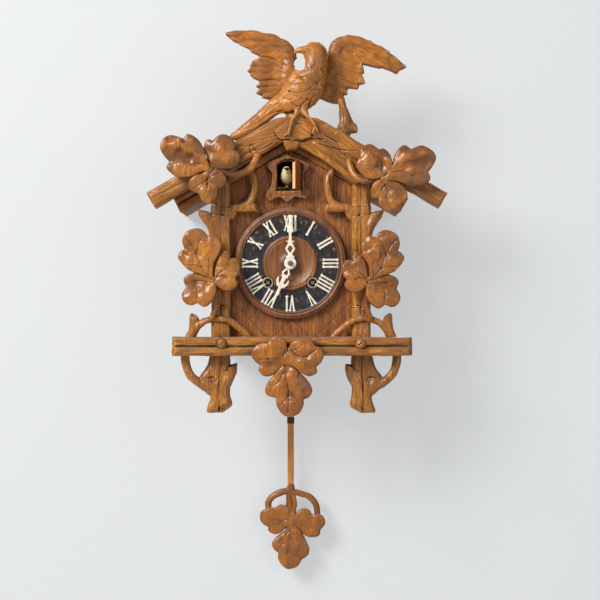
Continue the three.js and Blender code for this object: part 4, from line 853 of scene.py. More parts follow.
def bottom_leaves():
    """Three leaves in front of the beam."""
    low, high = cad("bottom_leaves")
    front, back = low[1], high[1]
    solid = Carving([-48, front, -184], [42, back, -84], MEDIUM)
    solid.leaf([[(-3, -101), (-5, -92.5), (-11.9, -86.5), (-19, -86), (-24.4, -90.5), (-26, -94.1)],
                [(-26, -94.1), (-34.6, -94.3), (-42.5, -99.5), (-45.5, -107), (-42, -115.5), (-35.4, -120.3)],
                [(-35.4, -120.3), (-37, -127), (-31, -133.2), (-22, -132.8), (-14, -126.5), (-4, -119)]],
               [(-17, -90, 2.4), (-20, -98, 0.2), (-12, -94, 1), (-8, -100, 2), (-14, -104, 0.6),
                (-6, -108, 3.6), (-10, -113, 2.8), (-5, -116, 2.6), (-36, -98, 1.6), (-34, -104, 0),
                (-40, -106, 1.8), (-26, -104, 1), (-38, -113, 2.8), (-28, -111, 0.8), (-20, -111, 0.6),
                (-30, -118, 3.2), (-22, -120, 4.4), (-14, -118, 3.4), (-32, -127, 2.4), (-25, -127, 1.6),
                (-19, -127, 2), (-28, -131, 3)], front)
    solid.leaf([[(-3, -103), (-1, -97), (6, -90.9), (16, -88.3), (25, -89.4), (28.5, -96.8)],
                [(28.5, -96.8), (36, -100.4), (39.4, -108), (37.5, -115.6), (30.8, -122.7)],
                [(30.8, -122.7), (31.5, -129.5), (22, -133.6), (12, -129), (3, -122.5), (-5, -119)]],
               [(8, -94, 1.8), (18, -92, 2.2), (25, -94, 2.8), (3, -98, 2.4), (13, -99, 0.4), (22, -101, 0),
                (3, -104, 3.2), (9, -109, 3.6), (18, -110, 3.4), (26, -107, 2.6), (33, -103, 2),
                (14, -105, 1.4), (34, -112, 1.8), (26, -115, 0.4), (14, -116, 0.2), (4, -114, 1.2),
                (-2, -112, 2.6), (0, -119, 2.4), (20, -121, 2.6), (28, -120, 2.4), (27, -128, 1.8),
                (18, -129, 1.4), (10, -124, 2)], front)
    solid.leaf([[(-5, -117), (-13, -125), (-21, -134), (-28.3, -144.6), (-28, -155), (-16.2, -159.3)],
                [(-16.2, -159.3), (-15.4, -169), (-8, -178.7), (0.6, -181.6), (10.8, -176.7), (15.9, -167),
                 (15.5, -161.1)],
                [(15.5, -161.1), (23.3, -157.1), (26, -149), (20.5, -138), (9.2, -127.4), (-4, -117)]],
               [(-7, -129, 3), (-12, -132, 2), (-18, -140, 0.8), (-20, -146, 1.2), (-26, -148, 2.2),
                (-22, -155, 2.4), (-12, -146, 0.2), (-10, -154, 1.8), (-5, -136, 2.2), (-3, -146, 2.8),
                (-2, -156, 3.4), (2, -134, 1), (6, -140, 0.8), (12, -144, 2.4), (18, -148, 3.6),
                (22, -144, 4.4), (8, -150, 0.2), (12, -156, 0.2), (20, -156, 2.8), (3, -153, 2.8),
                (-8, -164, 0.4), (2, -166, 0), (9, -168, 0.8), (-10, -172, 2), (0, -177, 2.2), (8, -174, 2),
                (-14, -164, 2), (14, -136, 3.4)], front)
    solid.rod((-5, front + 14, -116), (-4, back - 1, -112), 10, 11, 2)
    inner = front + 9
    veins(solid, [[(-6, -120), (-5, -136), (-2.3, -149), (-1.5, -158)],
                  [(-7.3, -129), (-12, -138), (-19.5, -145)],
                  [(-2, -149.5), (4, -157), (10, -163.5)], [(-2, -156), (-7, -162.5), (-12, -168.5)],
                  [(-17, -97), (-10, -101), (-5.5, -102.5)], [(-5.5, -103), (-7.5, -110)],
                  [(-28.5, -103), (-27, -110), (-25, -114)], [(-35, -114), (-27, -113), (-15, -113)],
                  [(-1, -100.5), (3, -104), (9, -109.3), (18.3, -110.3), (25, -106.5), (31, -102)],
                  [(3, -103.5), (10, -101), (15, -96)], [(-1, -160), (-3, -176)]], inner)
    drilled(solid, [(-7.3, -129.3), (-2, -149.5), (-2, -156), (9, -109.3), (18.3, -110.3), (-5.5, -103),
                    (-6, -121)], front)
    solid.wobble(0.18, 9, 8)
    carved("carved_bottom_leaves", solid, leaf_down, "case", ["bottom_leaves"])


# ---------------------------------------------------------------- branch frame, beam, rafters and roof

MIDDLE = 0.8  # the two branch frames mirror each other about this x


def branch_frame(side):
    """The column of two stems, with its crescent, arch, loop and root."""
    name = "left" if side < 0 else "right"
    back = cad(f"branch_frame_{name}")[1][1]
    turn = 1 if side < 0 else -1

    def x(value):
        return value if side < 0 else 2 * MIDDLE - value

    ends = sorted([x(-134), x(-36)])
    solid = Carving([ends[0], -123, -181], [ends[1], back, 113], MEDIUM)
    yc = -111.5

    def limb(rows, soft=1.2, deep=1.0):
        solid.limb([(x(px), y, z, r) for px, y, z, r in rows], soft, deep)

    def stub(rows, cut, normal, soft=1.0):
        solid.stub([(x(px), y, z, r) for px, y, z, r in rows], (x(cut[0]), cut[1], cut[2]),
                   (turn * normal[0], normal[1], normal[2]), soft)

    # twin stems with knuckles
    limb([(-88.6, yc, 96, 5.4), (-88.6, yc, 68, 5.6), (-88.6, yc, 30, 5.8), (-88.4, yc, -50, 5.8),
          (-88.4, yc, -90, 6.2),
          (-89, yc, -125, 6.5), (-88.6, yc, -150, 6.2), (-89.6, yc, -161, 5.8), (-91.2, yc, -169, 6.2),
          (-93.6, yc, -175, 6), (-95, yc, -181, 5)], 0.8)
    limb([(-77.4, yc, 96, 5.4), (-77.4, yc, 68, 5.6), (-77.4, yc, 30, 5.8), (-77.4, yc, -50, 5.8),
          (-77.4, yc, -90, 5.9),
          (-77.6, yc, -125, 6.2), (-78.2, yc, -150, 6.4), (-78, yc, -160, 6.6), (-77, yc, -167, 7.4),
          (-78.5, yc, -173, 8), (-80, yc, -180, 8)], 0.8)
    solid.rod((x(-83), yc + 1, 92), (x(-84), yc + 1, -174), 6.6, 7.2, 1.2)
    for px, z, r in ((-88.6, 62.5, 6.6), (-77.4, 62, 6.6), (-79, -56, 6.6)):
        solid.rod((x(px), yc, z - 3), (x(px), yc, z + 3), r, r, 1.5)
    # the ring above the clock face, with its cut stub
    limb([(-76, yc, 58, 5), (-68, yc - 1, 65.5, 5), (-58, yc - 1.5, 67, 4.6), (-50, yc - 1.5, 71, 4.4),
          (-45, yc - 1, 79, 4.1), (-42.6, yc - 0.5, 91, 4), (-44, yc, 102, 3.8), (-49, yc + 1, 111.5, 3.4)])
    stub([(-60, yc - 1, 65.5, 4.6), (-50, yc - 2, 66, 4.7), (-38, yc - 2.5, 66.5, 5)], (-41, yc - 4, 67),
         (0.9, -0.4, 0.25))
    limb([(-70, yc + 0.5, 56, 4), (-66, yc + 0.5, 62, 3)])
    # outer stub, cut off slanting
    stub([(-90, yc, 30, 5), (-93, yc, 44, 6.4), (-98, yc, 53, 7), (-105, yc - 1, 66, 9)], (-101, yc, 61.6),
         (0.22, -0.2, 1))
    solid.trim_near((x(-107.5), yc - 3, 57), (turn * -0.9, -0.5, 0.1), 10)
    # arch over the beam, with its stub
    ya = -116.2
    limb([(-121, ya + 3, -93, 6.6), (-117, ya + 2, -84, 5.6), (-112, ya + 1, -76.5, 4.6),
          (-104, ya, -70.5, 4),
          (-95, ya - 0.5, -67.3, 3.9), (-84, ya - 0.8, -66.3, 3.9), (-73, ya - 0.5, -69, 4),
          (-63, ya, -75.5, 4.2),
          (-55, ya, -83, 4.4), (-50, ya, -90, 4.8)], 0.7)
    stub([(-117.5, ya + 2, -86, 5.4), (-116, ya + 2, -76, 5), (-113.6, ya + 1.5, -58, 6)],
         (-113.6, ya, -64.2), (0.4, -0.35, 0.85), 1.4)
    # loop under the beam and the web that carries it
    yl = -112.5
    limb([(-125.8, yl, -100, 5.2), (-126, yl, -111, 5), (-125, yl, -121, 4.9), (-120.5, yl, -132, 4.9),
          (-112, yl, -140.5, 5), (-103.5, yl - 0.8, -146.4, 5), (-100, yl - 1.2, -148, 4.6)], 0.9)
    limb([(-92, yc + 1, -110, 4), (-93.5, yc + 1, -121, 4.6), (-96.5, yc + 1, -131, 6),
          (-101, yc + 1, -138.5, 7),
          (-98, yc + 1, -147, 7), (-93, yc + 1, -153, 6)], 2)
    # inner stub under the beam
    stub([(-80, yc - 0.5, -150, 6.4), (-75, yc - 1, -139, 6.8), (-71, yc - 1, -130, 6.8),
          (-66, yc - 1.5, -115, 7.6)],
         (-68.5, yc, -121.6), (-0.16, -0.25, 1))
    solid.trim_near((x(-65), yc - 1, -127), (turn * 0.95, -0.35, 0.1), 9)
    # roots cut off slanting
    solid.trim((x(-85), yc, -178.8), (0, 0, -1), 2)
    solid.trim((x(-75.5), yc, -175), (turn * 0.55, 0, -0.83), 2)
    solid.trim_near((x(-91.5), -118, -174), (turn * 0.34, -0.66, -0.53), 9)
    solid.trim_near((x(-78), -118.4, -168), (turn * 0.08, -0.78, -0.62), 10)
    # bark lines and joints
    solid.groove([(x(-83), 92), (x(-83), -60)], 1.0, 1.2, -112)
    solid.groove([(x(px), z) for px, z in curve([(-83, -88), (-83.4, -125), (-85.2, -150), (-84.6, -178)],
                                                5)], 1.1, 1.6, -112)
    for z, x0, x1 in ((67, -94, -84), (58, -94, -84), (67.5, -82, -72), (57, -82, -72), (-50, -86, -72),
                      (-53, -86, -72)):
        solid.groove([(x(px), pz) for px, pz in curve([(x0, z + 0.8), ((x0 + x1) / 2, z - 0.6),
                                                       (x1, z + 0.5)], 4)], 0.6, 0.9, -110)
    solid.groove([(x(px), z) for px, z in curve([(-101, -137), (-95, -136), (-91, -137), (-89.5, -141),
                                                 (-87, -138)], 4)], 0.8, 1.5, -112)
    solid.groove([(x(px), z) for px, z in curve([(-81, -128), (-77, -128.5), (-73.5, -124), (-70, -122)],
                                                4)], 0.7, 1.2, -112)
    solid.bark(math.radians(90), 0.55, 13 if side < 0 else 14)
    for px, z in ((-80.8, 57.5), (-79.5, -50.5)):
        solid.rod((x(px), -122, z), (x(px), -113, z), 1.2, 0.8, 0.3, cut=True)
    for a, b in (((-80, 50), (-79.5, 5)), ((-91, 44), (-90.5, 0)), ((-75, 40), (-75, -45)),
                 ((-80.5, -55), (-81, -66)),
                 ((-92, -112), (-93, -124)), ((-80, -112), (-80, -124)), ((-76, -140), (-75.5, -165)),
                 ((-91, -150), (-93, -168))):
        solid.groove([(x(a[0]), a[1]), (x((a[0] + b[0]) / 2 + 0.6), (a[1] + b[1]) / 2), (x(b[0]), b[1])],
                     0.5, 0.5, -112)
    solid.wobble(0.28, 8, 11 if side < 0 else 12, (1, 1, 3))
    carved(f"carved_branch_frame_{name}", solid, upright, "case", [f"branch_frame_{name}"])


def bottom_beam():
    """The cross beam, carved as two logs with bark cuts."""
    low, high = cad("bottom_beam")
    front, back = low[1], high[1]
    x0, x1 = low[0], high[0]
    solid = Carving([x0, front, low[2]], [x1, back, high[2]], MEDIUM)
    middle_z = (low[2] + high[2]) / 2
    y = (front + back) / 2
    for z, r in ((middle_z + 5.2, 6.0), (middle_z - 5.2, 6.0)):
        solid.rod((x0 - 9, front + 6.2, z), (x1 + 9, front + 6.2, z), r, r, 1.6)
    solid.slab([(x0 - 9, low[2]), (x1 + 9, low[2]), (x1 + 9, high[2]), (x0 - 9, high[2])], front + 3.5, back,
               1.5, 0.8)
    for end, way in ((x0, -1), (x1, 1)):
        solid.trim((end, y, middle_z), (way, 0, 0.02), 0.8)
        solid.trim((end - way * 3.6, front + 1.5, middle_z), (way, -0.9, 0), 0.5)
    lines = [(-134, -45, -92.2, 0.5, 0.6), (-60, -8, -91.6, 0.5, 0.7), (44, 76, -97.2, 0.4, 0.5),
             (92, 138, -93, 0.5, 0.45), (98, 140, -103, 0.6, 0.9), (-136, -92, -104, 0.6, 0.7),
             (-70, -46, -103.5, 0.5, 0.6), (40, 95, -105.5, 0.6, 0.6), (-138, -40, -95.2, 0.6, 0.35),
             (-110, -60, -107, 0.6, 0.4)]
    for a, b, z, width, depth in lines:
        solid.groove(curve([(a, z), (a * 0.66 + b * 0.34, z - 0.5), (a * 0.3 + b * 0.7, z + 0.3),
                            (b, z - 0.2)], 6), width, depth, front + 9)
    solid.groove(curve([(x0, middle_z + 0.4), (x0 / 2, middle_z - 0.5), (0, middle_z),
                        (x1 / 2, middle_z + 0.5),
                        (x1, middle_z)], 8), 0.9, 0.7, front + 9)
    solid.bark(0.0, 0.9, 22, (4.6, 7, 11))
    solid.wobble(0.35, 10, 21, (4, 1, 1))
    for node in ("beam_screw_left", "beam_screw_right"):
        a, b = cad(node)
        centre = (a + b) / 2
        solid.rod((centre[0], front - 3, centre[2]), (centre[0], -127, centre[2]), 6.8, 6.8, 0.4, cut=True)
    carved("carved_bottom_beam", solid, level, "case", ["bottom_beam"])


def wooden_screw(name, turn):
    """A turned wooden screw with a slotted, slightly domed head."""
    low, high = cad(name)
    cx, cz = (low[0] + high[0]) / 2, (low[2] + high[2]) / 2
    front, radius = low[1] - 0.6, (high[0] - low[0]) / 2
    solid = Carving([cx - radius - 1, front, cz - radius - 1], [cx + radius + 1, -118, cz + radius + 1], 0.4)
    solid.rod((cx, front + 7.6, cz), (cx, front + 11, cz), radius, radius, 0)
    solid.ball((cx, front + 6, cz), (radius, 6.3, radius), 1.5)
    dx, dz = math.cos(turn) * radius * 1.3, math.sin(turn) * radius * 1.3
    for depth in (0, 1.3):
        y = front - 0.4 + depth
        solid.rod((cx - dx, y, cz - dz), (cx + dx, y, cz + dz), 0.8, 0.8, 0.2, cut=True)
    solid.groove(curve([(cx - 3, cz - 4), (cx + 1, cz - 3.4), (cx + 4, cz - 4)], 4), 0.4, 0.3, front + 4)
    solid.wobble(0.12, 5, 31)
    carved(f"carved_{name}", solid, slope_right, "case", [name])


SLOPE = math.radians(30.2)
RIDGE = (8.0, 188.0)  # where the outer edges of the two rafters would meet


def rafter(side):
    """The log in front of the roof, with its bark and the hub at the ridge."""
    name = "left" if side < 0 else "right"
    low, high = cad(f"rafter_{name}")
    front, back = low[1], high[1]
    along = np.array([side * math.cos(SLOPE), -math.sin(SLOPE)])
    down = np.array([-side * math.sin(SLOPE), -math.cos(SLOPE)])

    def at(run, drop):
        """The point so far along the outer edge from the ridge and so far below it."""
        p = np.array(RIDGE) + along * run + down * drop
        return (p[0], p[1])

    end = 207.6
    solid = Carving([low[0], front - 2, low[2] - 2], [high[0] + 4, back, 174], MEDIUM)
    board = [at(-6, 0.2), at(end + 12, 0.2), at(end + 12, 21.6), at(-6, 21.6)]
    solid.slab(board, front + 0.8, back, 6.2)
    solid.bark(-side * SLOPE, 1.15, 43 if side < 0 else 44, (5.5, 8, 12, 17))
    # the gable's middle: knots and branches that meet under the bird
    if side < 0:
        solid.slab([(-19, 156), (-17, 149), (-10, 145.6), (6, 145), (13, 149), (13, 162), (4, 166),
                    (-4, 166), (-12, 162)], front - 1.2, back, 4.5, 1.0)
        solid.slab([(-9, 147), (-7.5, 140), (-4, 134), (6, 134.5), (10, 137), (11, 143), (8, 147)],
                   front + 0.2, back, 4, 0.8)
        solid.limb([(-9, front + 8, 150, 6), (-22, front + 7, 144, 5.6), (-33, front + 6.5, 136, 5.2),
                    (-44, front + 7, 131, 5), (-58, front + 8, 124, 4.8)], 1.0)
        solid.limb([(-12, front + 6, 152, 5.5), (-28, front + 5.4, 147, 5.4), (-40, front + 5.4, 140, 5.2),
                    (-52, front + 6, 134, 5)], 0.8)
        grooves = [[(-45.5, 141), (-43, 136), (-38, 131)], [(-47, 139.5), (-48, 134.5), (-45.5, 129)],
                   [(-19, 155), (-15, 148), (-8, 146), (4, 148.5)], [(-4, 147), (2, 144.6), (9, 146)],
                   [(-20, 143), (-30, 137), (-38, 134)], [(-62, 140), (-52, 138.5), (-44, 141)],
                   [(-17, 151), (-30, 147), (-42, 141)]]
    else:
        solid.slab([(6, 160), (30, 158), (60, 142), (84, 130), (86, 104), (76, 98), (60, 109), (38, 125),
                    (18, 138), (6, 142)], front + 5, back, 4, 1.0)
        solid.slab([(7, 166), (7, 146), (14, 145), (24, 148), (28, 158), (20, 164)], front - 0.6, back, 4.5,
                   1.0)
        solid.limb([(8, front + 8, 143.5, 4.6), (24, front + 8, 136.5, 4.7), (45, front + 7, 122.5, 4.7),
                    (62, front + 7, 110.5, 4.7), (78, front + 7.5, 98.5, 4.8)], 0.5)
        solid.limb([(30, front + 8, 142, 4.4), (50, front + 7.6, 131, 4.4), (66, front + 8, 119, 4.2),
                    (80, front + 9, 108, 4)], 0.5)
        solid.limb([(58, front + 4, 152, 6), (66, front + 4.6, 143, 6), (77, front + 6, 134, 5.4),
                    (84, front + 7, 128, 5)], 1.2)
        grooves = [[(36, 153), (50, 147), (58, 140.5)], [(34, 142), (48, 138), (62, 134), (78, 133)],
                   [(60, 133), (66, 127), (72, 120), (75, 110)], [(64, 130), (71, 124), (77, 112), (86, 102)],
                   [(13, 143), (22, 148), (40, 147)], [(55, 127), (63, 124), (70, 121)]]
    for line in grooves:
        solid.groove(curve(line, 5), 0.7, 1.2, front + 8)
    solid.trim((RIDGE[0] + (3.5 if side < 0 else -0.2), 0, 0), (-side, 0, 0), 0.1 if side > 0 else 2)
    tip = at(end, 10.9)
    solid.trim((tip[0], 0, tip[1]), (along[0], 0, along[1]), 0.9)
    solid.trim((tip[0] - along[0] * 3.4, front, tip[1] - along[1] * 3.4), (along[0], -0.85, along[1]), 0.5)
    solid.trim((RIDGE[0], 0, 172.8), (0, 0, 1), 3)
    solid.trim((0, front, 0), (0, -1, 0), 1.0)
    solid.wobble(0.34, 9, 41 if side < 0 else 42, (2.5, 1, 2))
    carved(f"carved_rafter_{name}", solid, slope_left if side < 0 else slope_right, "case",
           [f"rafter_{name}"])


def roof(side):
    """A sloping board with a twin log carved along its front eave."""
    name = "left" if side < 0 else "right"
    low, high = cad(f"roof_{name}")
    front, back = low[1], high[1]
    along = np.array([side * math.cos(ROOF_SLOPE), -math.sin(ROOF_SLOPE)])
    up = np.array([side * math.sin(ROOF_SLOPE), math.cos(ROOF_SLOPE)])
    peak = np.array([side * 0.15, ROOF_PEAK])
    length, thick, log_height = 152, 10, 20

    def at(run, rise):
        p = peak + along * run + up * rise
        return (p[0], p[1])

    solid = Carving([low[0], front - 1, low[2]], high, COARSE)
    solid.slab([at(-8, 0.1), at(length, 0.1), at(length, thick), at(-8, thick)], front + 1, back, 1.2)
    for rise, radius in ((5.2, 5.4), (log_height - 5.0, 5.4)):
        a, b = at(-8, rise), at(length + 8, rise)
        solid.rod((a[0], front + 5.8, a[1]), (b[0], front + 5.8, b[1]), radius, radius, 0.5)
    solid.slab([at(-8, 0.4), at(length + 8, 0.4), at(length + 8, log_height - 0.4), at(-8, log_height - 0.4)],
               front + 3.5, front + 11.5, 1.5, 0.8)
    solid.groove([at(0, log_height / 2), at(length, log_height / 2)], 0.8, 1.0, front + 8)
    tip = at(length, 0)
    solid.trim((tip[0], 0, tip[1]), (along[0], 0, along[1]), 0.8)
    solid.trim((tip[0] - along[0] * 3, front, tip[1] - along[1] * 3), (along[0], -0.8, along[1]), 0.5)
    solid.trim((side * 0.15, 0, 0), (-side, 0, 0), 0.1)
    if side > 0:
        hole = at(length - 10, 8)
        solid.rod((hole[0], front - 2, hole[1]), (hole[0], front + 5, hole[1]), 0.9, 0.9, 0.2, cut=True)
    solid.wobble(0.3, 14, 51, (3, 3, 2))
    carved(f"carved_roof_{name}", solid, roofing, "case", [f"roof_{name}"], rounds=1)


# ---------------------------------------------------------------- front board, bird door surround

def repainted(material, change):
    """Changes a material's colour: change takes the finish and its colour and gives the new colour."""
    f = Finish("unused")
    bpy.data.materials.remove(f.material)
    f.material, f.tree = material, material.node_tree
    f.shader = material.node_tree.nodes["Principled BSDF"]
    source = next(link.from_socket for link in f.tree.links
                  if link.to_socket == f.shader.inputs["Base Color"])
    f.feed(f.shader.inputs["Base Color"], change(f, source))


def pale_edge(f, color):
    """The door leaf's free edge is bare, lighter wood."""
    edge = cad("bird_door")[0][1] + 2.2
    y = f.node("SeparateXYZ", Vector=f.place()).outputs[1]
    return f.mix(f.range(y, edge + 0.3, edge - 0.3), color, srgb(240, 176, 122))


def front_board():
    """The board with its incised diamond lattice and the openings of the bird, the keys and the hands."""
    low, high = cad("case_front")
    front, back = low[1], high[1]
    shoulder = ROOF_PEAK - high[0] * math.tan(ROOF_SLOPE) - 0.3
    outline = [(low[0], low[2]), (high[0], low[2]), (high[0], shoulder), (0, high[2]), (low[0], shoulder)]
    solid = Carving(low, high, COARSE * 0.85)
    door = [(-16, 87.6), (10.4, 87.6), (10.4, 117.5), (6, 121.5), (-2.8, 123.1), (-11.6, 121.5), (-16, 117.5)]
    solid.slab(outline, front, back, 0.5, 0, [door])
    for cx, cz, r in ((0, 0, 8), (KEY_HOLE[0], KEY_HOLE[1], 7), (-KEY_HOLE[0], KEY_HOLE[1], 7)):
        solid.rod((cx, front - 5, cz), (cx, back + 5, cz), r, r, 0.2, cut=True)
    for i in range(-6, 8):
        for way, start in zip((1, -1), LATTICE_STARTS):
            cx = start + i * LATTICE
            solid.groove([(cx - 260, way * -260), (cx + 260, way * 260)], 0.6, 0.45, (front + back) / 2)
    solid.wobble(0.16, 5, 61, (1, 1, 9))
    carved("carved_front_board", solid, board, "case", ["case_front"])


def door_surround():
    """The carved frame round the bird door."""
    low, high = cad("door_surround")
    front, back = low[1], high[1]
    outline = curve([(-5, 130), (-12, 126.3), (-17.6, 124.4), (-24.3, 121.4), (-28.3, 117.5), (-25.4, 112.6),
                     (-21.9, 108.7), (-21.6, 100), (-23.4, 92.6), (-26.6, 87), (-29, 81.6), (-27.8, 77.6),
                     (-24.5, 74.4), (-18.6, 77.2), (-13, 79.4), (-8.6, 77.2), (-4, 73.6), (1.2, 76.6),
                     (6.5, 79.6), (12, 79.2), (17.3, 77.3), (20.4, 80.6), (23.3, 85), (19.6, 88.2),
                     (16.6, 92), (15.6, 100), (16.2, 108.7), (19.8, 112.6), (22.4, 117), (18.6, 121.2),
                     (12, 123.6), (2.4, 126.4)], 3)
    door = [(-16.8, 86.5), (15, 86.5), (15, 116)] + [(-0.9 + 15.9 * math.cos(t), 116 + 9.2 * math.sin(t))
                                                    for t in np.linspace(0.2, math.pi - 0.2, 9)] + [(-16.8,
                                                            116)]
    solid = Carving([low[0] - 1, front, low[2] - 1], [high[0] + 1, back, high[2] + 1], 0.5)
    solid.slab([tuple(p) for p in outline], front + 0.4, back, 1.3, 0, [door])
    for line in ([(-20, 121), (-24, 117), (-20, 112)], [(-19, 108), (-19.4, 98), (-21, 90)],
                 [(-26, 83), (-22, 80)],
                 [(-15, 82.5), (-5, 81), (6, 83)], [(-5, 79), (-4.6, 76)], [(9, 83.6), (15, 82), (18.6, 84)],
                 [(-13, 124.5), (-8, 126.8), (-4, 128)], [(-23, 78.6), (-20.4, 84)],
                 [(14, 79.6), (16.6, 85)]):
        solid.groove(curve(line, 4), 0.55, 0.7, back - 3)
    solid.wobble(0.35, 6, 71, (1, 1, 2))
    carved("carved_door_surround", solid, surround_wood, "case", ["door_surround"])


# ---------------------------------------------------------------- dial, numerals and hands

def revolved_profile(radius, knots):
    """Heights along a smooth profile of (radius, y) knots."""
    r, y = zip(*knots)
    return np.interp(radius, r, y).astype(np.float32)


def dial():
    """One turned plate: rim, ring and boss, with the holes for hands and keys."""
    low, high = cad("dial_plate")
    back, rim = high[1], (high[0] - low[0]) / 2
    knots = [(0, -110.6), (7, -110.4), (9, -109.8), (11, -108.7), (13.5, -107.7), (16.5, -107.3),
             (20, -107.9), (24, -109.2), (27.4, -110.6), (28.2, -110.7), (28.7, -109.9), (29.2, -110.9),
             (30.1, -111.4), (31.2, -111.2), (32, -110.2), (32.4, -109.2), (33, -108.6), (57.2, -108.6),
             (57.9, -109.0), (58.4, -110.6), (59.2, -111.4), (60, -111.2), (60.5, -110.2), (61, -111.2),
             (62.2, -112), (63.4, -111.7), (64.2, -110.9), (64.6, -109.9), (65, -110.4), (65.8, -110.2),
             (67, -108)]
    solid = Carving([-rim, -112.2, -rim], [rim, back, rim], 0.5)
    cuts, (x, y, z) = solid.whole()
    radius = np.hypot(x, z)
    face = revolved_profile(radius, knots)
    slope = np.gradient(revolved_profile(np.arange(0, rim + 4, 0.25), knots), 0.25)
    steep = np.sqrt(1 + np.interp(radius, np.arange(0, rim + 4, 0.25), slope) ** 2)
    gap = np.maximum(np.maximum((face - y) / steep, y - back), radius - rim)
    solid.put(cuts, gap.astype(np.float32))
    solid.rod((0, -120, 0), (0, back + 3, 0), 8, 8, 0.2, cut=True)
    for node in ("winding_grommet_left", "winding_grommet_right"):
        a, b = cad(node)
        c = (a + b) / 2
        solid.rod((c[0], -120, c[2]), (c[0], back + 3, c[2]), (b[0] - a[0]) / 2 + 0.3, None, 0.2, cut=True)
    carved("turned_dial", solid, dial_wood, "case", ["dial_plate"])


STROKE = 2.3  # width of a numeral's strokes
GLYPHS = {"I": 4.3, "V": 8.2, "X": 8.0}  # widths
NUMERALS = ["I", "II", "III", "IIII", "V", "VI", "VII", "VIII", "IX", "X", "XI", "XII"]


def strokes(text):
    """A numeral's strokes in its own upright frame: (x0, z0, x1, z1, width), z from 0 to 1."""
    width = sum(GLYPHS[c] for c in text)
    cursor = -width / 2
    rows = []
    for letter in text:
        middle = cursor + GLYPHS[letter] / 2
        half = GLYPHS[letter] / 2
        if letter == "I":
            rows.append((middle, 0, middle, 1, STROKE))
            rows += [(middle - 1.7, e, middle + 1.7, e, 0.95) for e in (0.027, 0.973)]
        elif letter == "V":
            rows.append((middle - half + 1.7, 1, middle, 0, STROKE))
            rows.append((middle + half - 1.7, 1, middle, 0, STROKE * 0.72))
            rows += [(middle + s * (half - 1.7) - 1.5, 0.97, middle + s * (half - 1.7) + 1.5, 0.97, 1.1)
                     for s in (-1, 1)]
        else:
            rows.append((middle - half + 1.7, 1, middle + half - 1.7, 0, STROKE))
            rows.append((middle + half - 1.7, 1, middle - half + 1.7, 0, STROKE * 0.72))
            rows += [(middle + s * (half - 1.7) - 1.4, e, middle + s * (half - 1.7) + 1.4, e, 1.1)
                     for s in (-1, 1) for e in (0.03, 0.97)]
        cursor += GLYPHS[letter]
    return rows


def numeral(hour):
    """One Roman numeral that stands on its ring; gives back where its pins sit."""
    text = NUMERALS[hour - 1]
    turn = math.radians(30 * hour)
    out, across = np.array([math.sin(turn), math.cos(turn)]), np.array([math.cos(turn), -math.sin(turn)])
    inner, outer = 39.3, 57.0
    front, back = -110.0, -108.45

    def at(u, v):
        p = across * u + out * (inner + v * (outer - inner))
        return (p[0], p[1])

    half = sum(GLYPHS[c] for c in text) / 2 + 1.5
    corners = np.array([at(u, v) for u in (-half, half) for v in (-0.05, 1.05)])
    lower, upper = corners.min(0), corners.max(0)
    solid = Carving([lower[0], front, lower[1]], [upper[0], back, upper[1]], 0.36)
    cuts, (x, y, z) = solid.whole()
    side = np.full(np.broadcast(x, z).shape, FAR, np.float32)
    for u0, v0, u1, v1, width in strokes(text):
        gap, _ = segment_distance(x, z, at(u0, v0), at(u1, v1))
        side = np.minimum(side, gap - width / 2)
    for gap_u in [u0 for u0, v0, u1, v1, width in strokes(text) if u0 == u1]:
        middle = at(gap_u, 0.5)
        side = soft_min(side, np.hypot(x - middle[0], z - middle[1]) - STROKE * 0.57, 0.6)
    edge = 0.45
    u, w = side + edge, np.abs(y - (front + back) / 2) - (back - front) / 2 + edge
    solid.put(cuts, rounded(u, w, edge))
    carved(f"numeral_{hour:02d}", solid, bone, "case", [], rounds=1)
    return [at(u0, 0.5) for u0, v0, u1, v1, width in strokes(text) if abs(v0 - v1) > 0.5
            and u0 == u1][:2] or [at(0, 0.5)]


def numeral_pins(spots):
    """The brass pins that hold the numerals."""
    points, faces = [], []
    sides = 10
    for x, z in spots:
        base = len(points)
        for y, r in ((-109.8, 0.5), (-110.25, 0.44), (-110.45, 0.24)):
            points += [(x + r * math.cos(t), y, z + r * math.sin(t))
                       for t in np.linspace(0, 2 * math.pi, sides, False)]
        points.append((x, -110.5, z))
        for ring in (0, 1):
            for i in range(sides):
                j = (i + 1) % sides
                a, b = base + ring * sides, base + (ring + 1) * sides
                faces += [(a + i, b + i, b + j), (a + i, b + j, a + j)]
        faces += [(base + 2 * sides + i, base + 3 * sides, base + 2 * sides + (i + 1) % sides)
                  for i in range(sides)]
        points.append((x, -109.8, z))
        faces += [(base + (i + 1) % sides, base + 3 * sides + 1, base + i) for i in range(sides)]
    thing = mesh_object("numeral_pins", np.array(points) * MM, np.array(faces))
    thing.data.materials.append(brass)
    dressed(thing, "case", [])


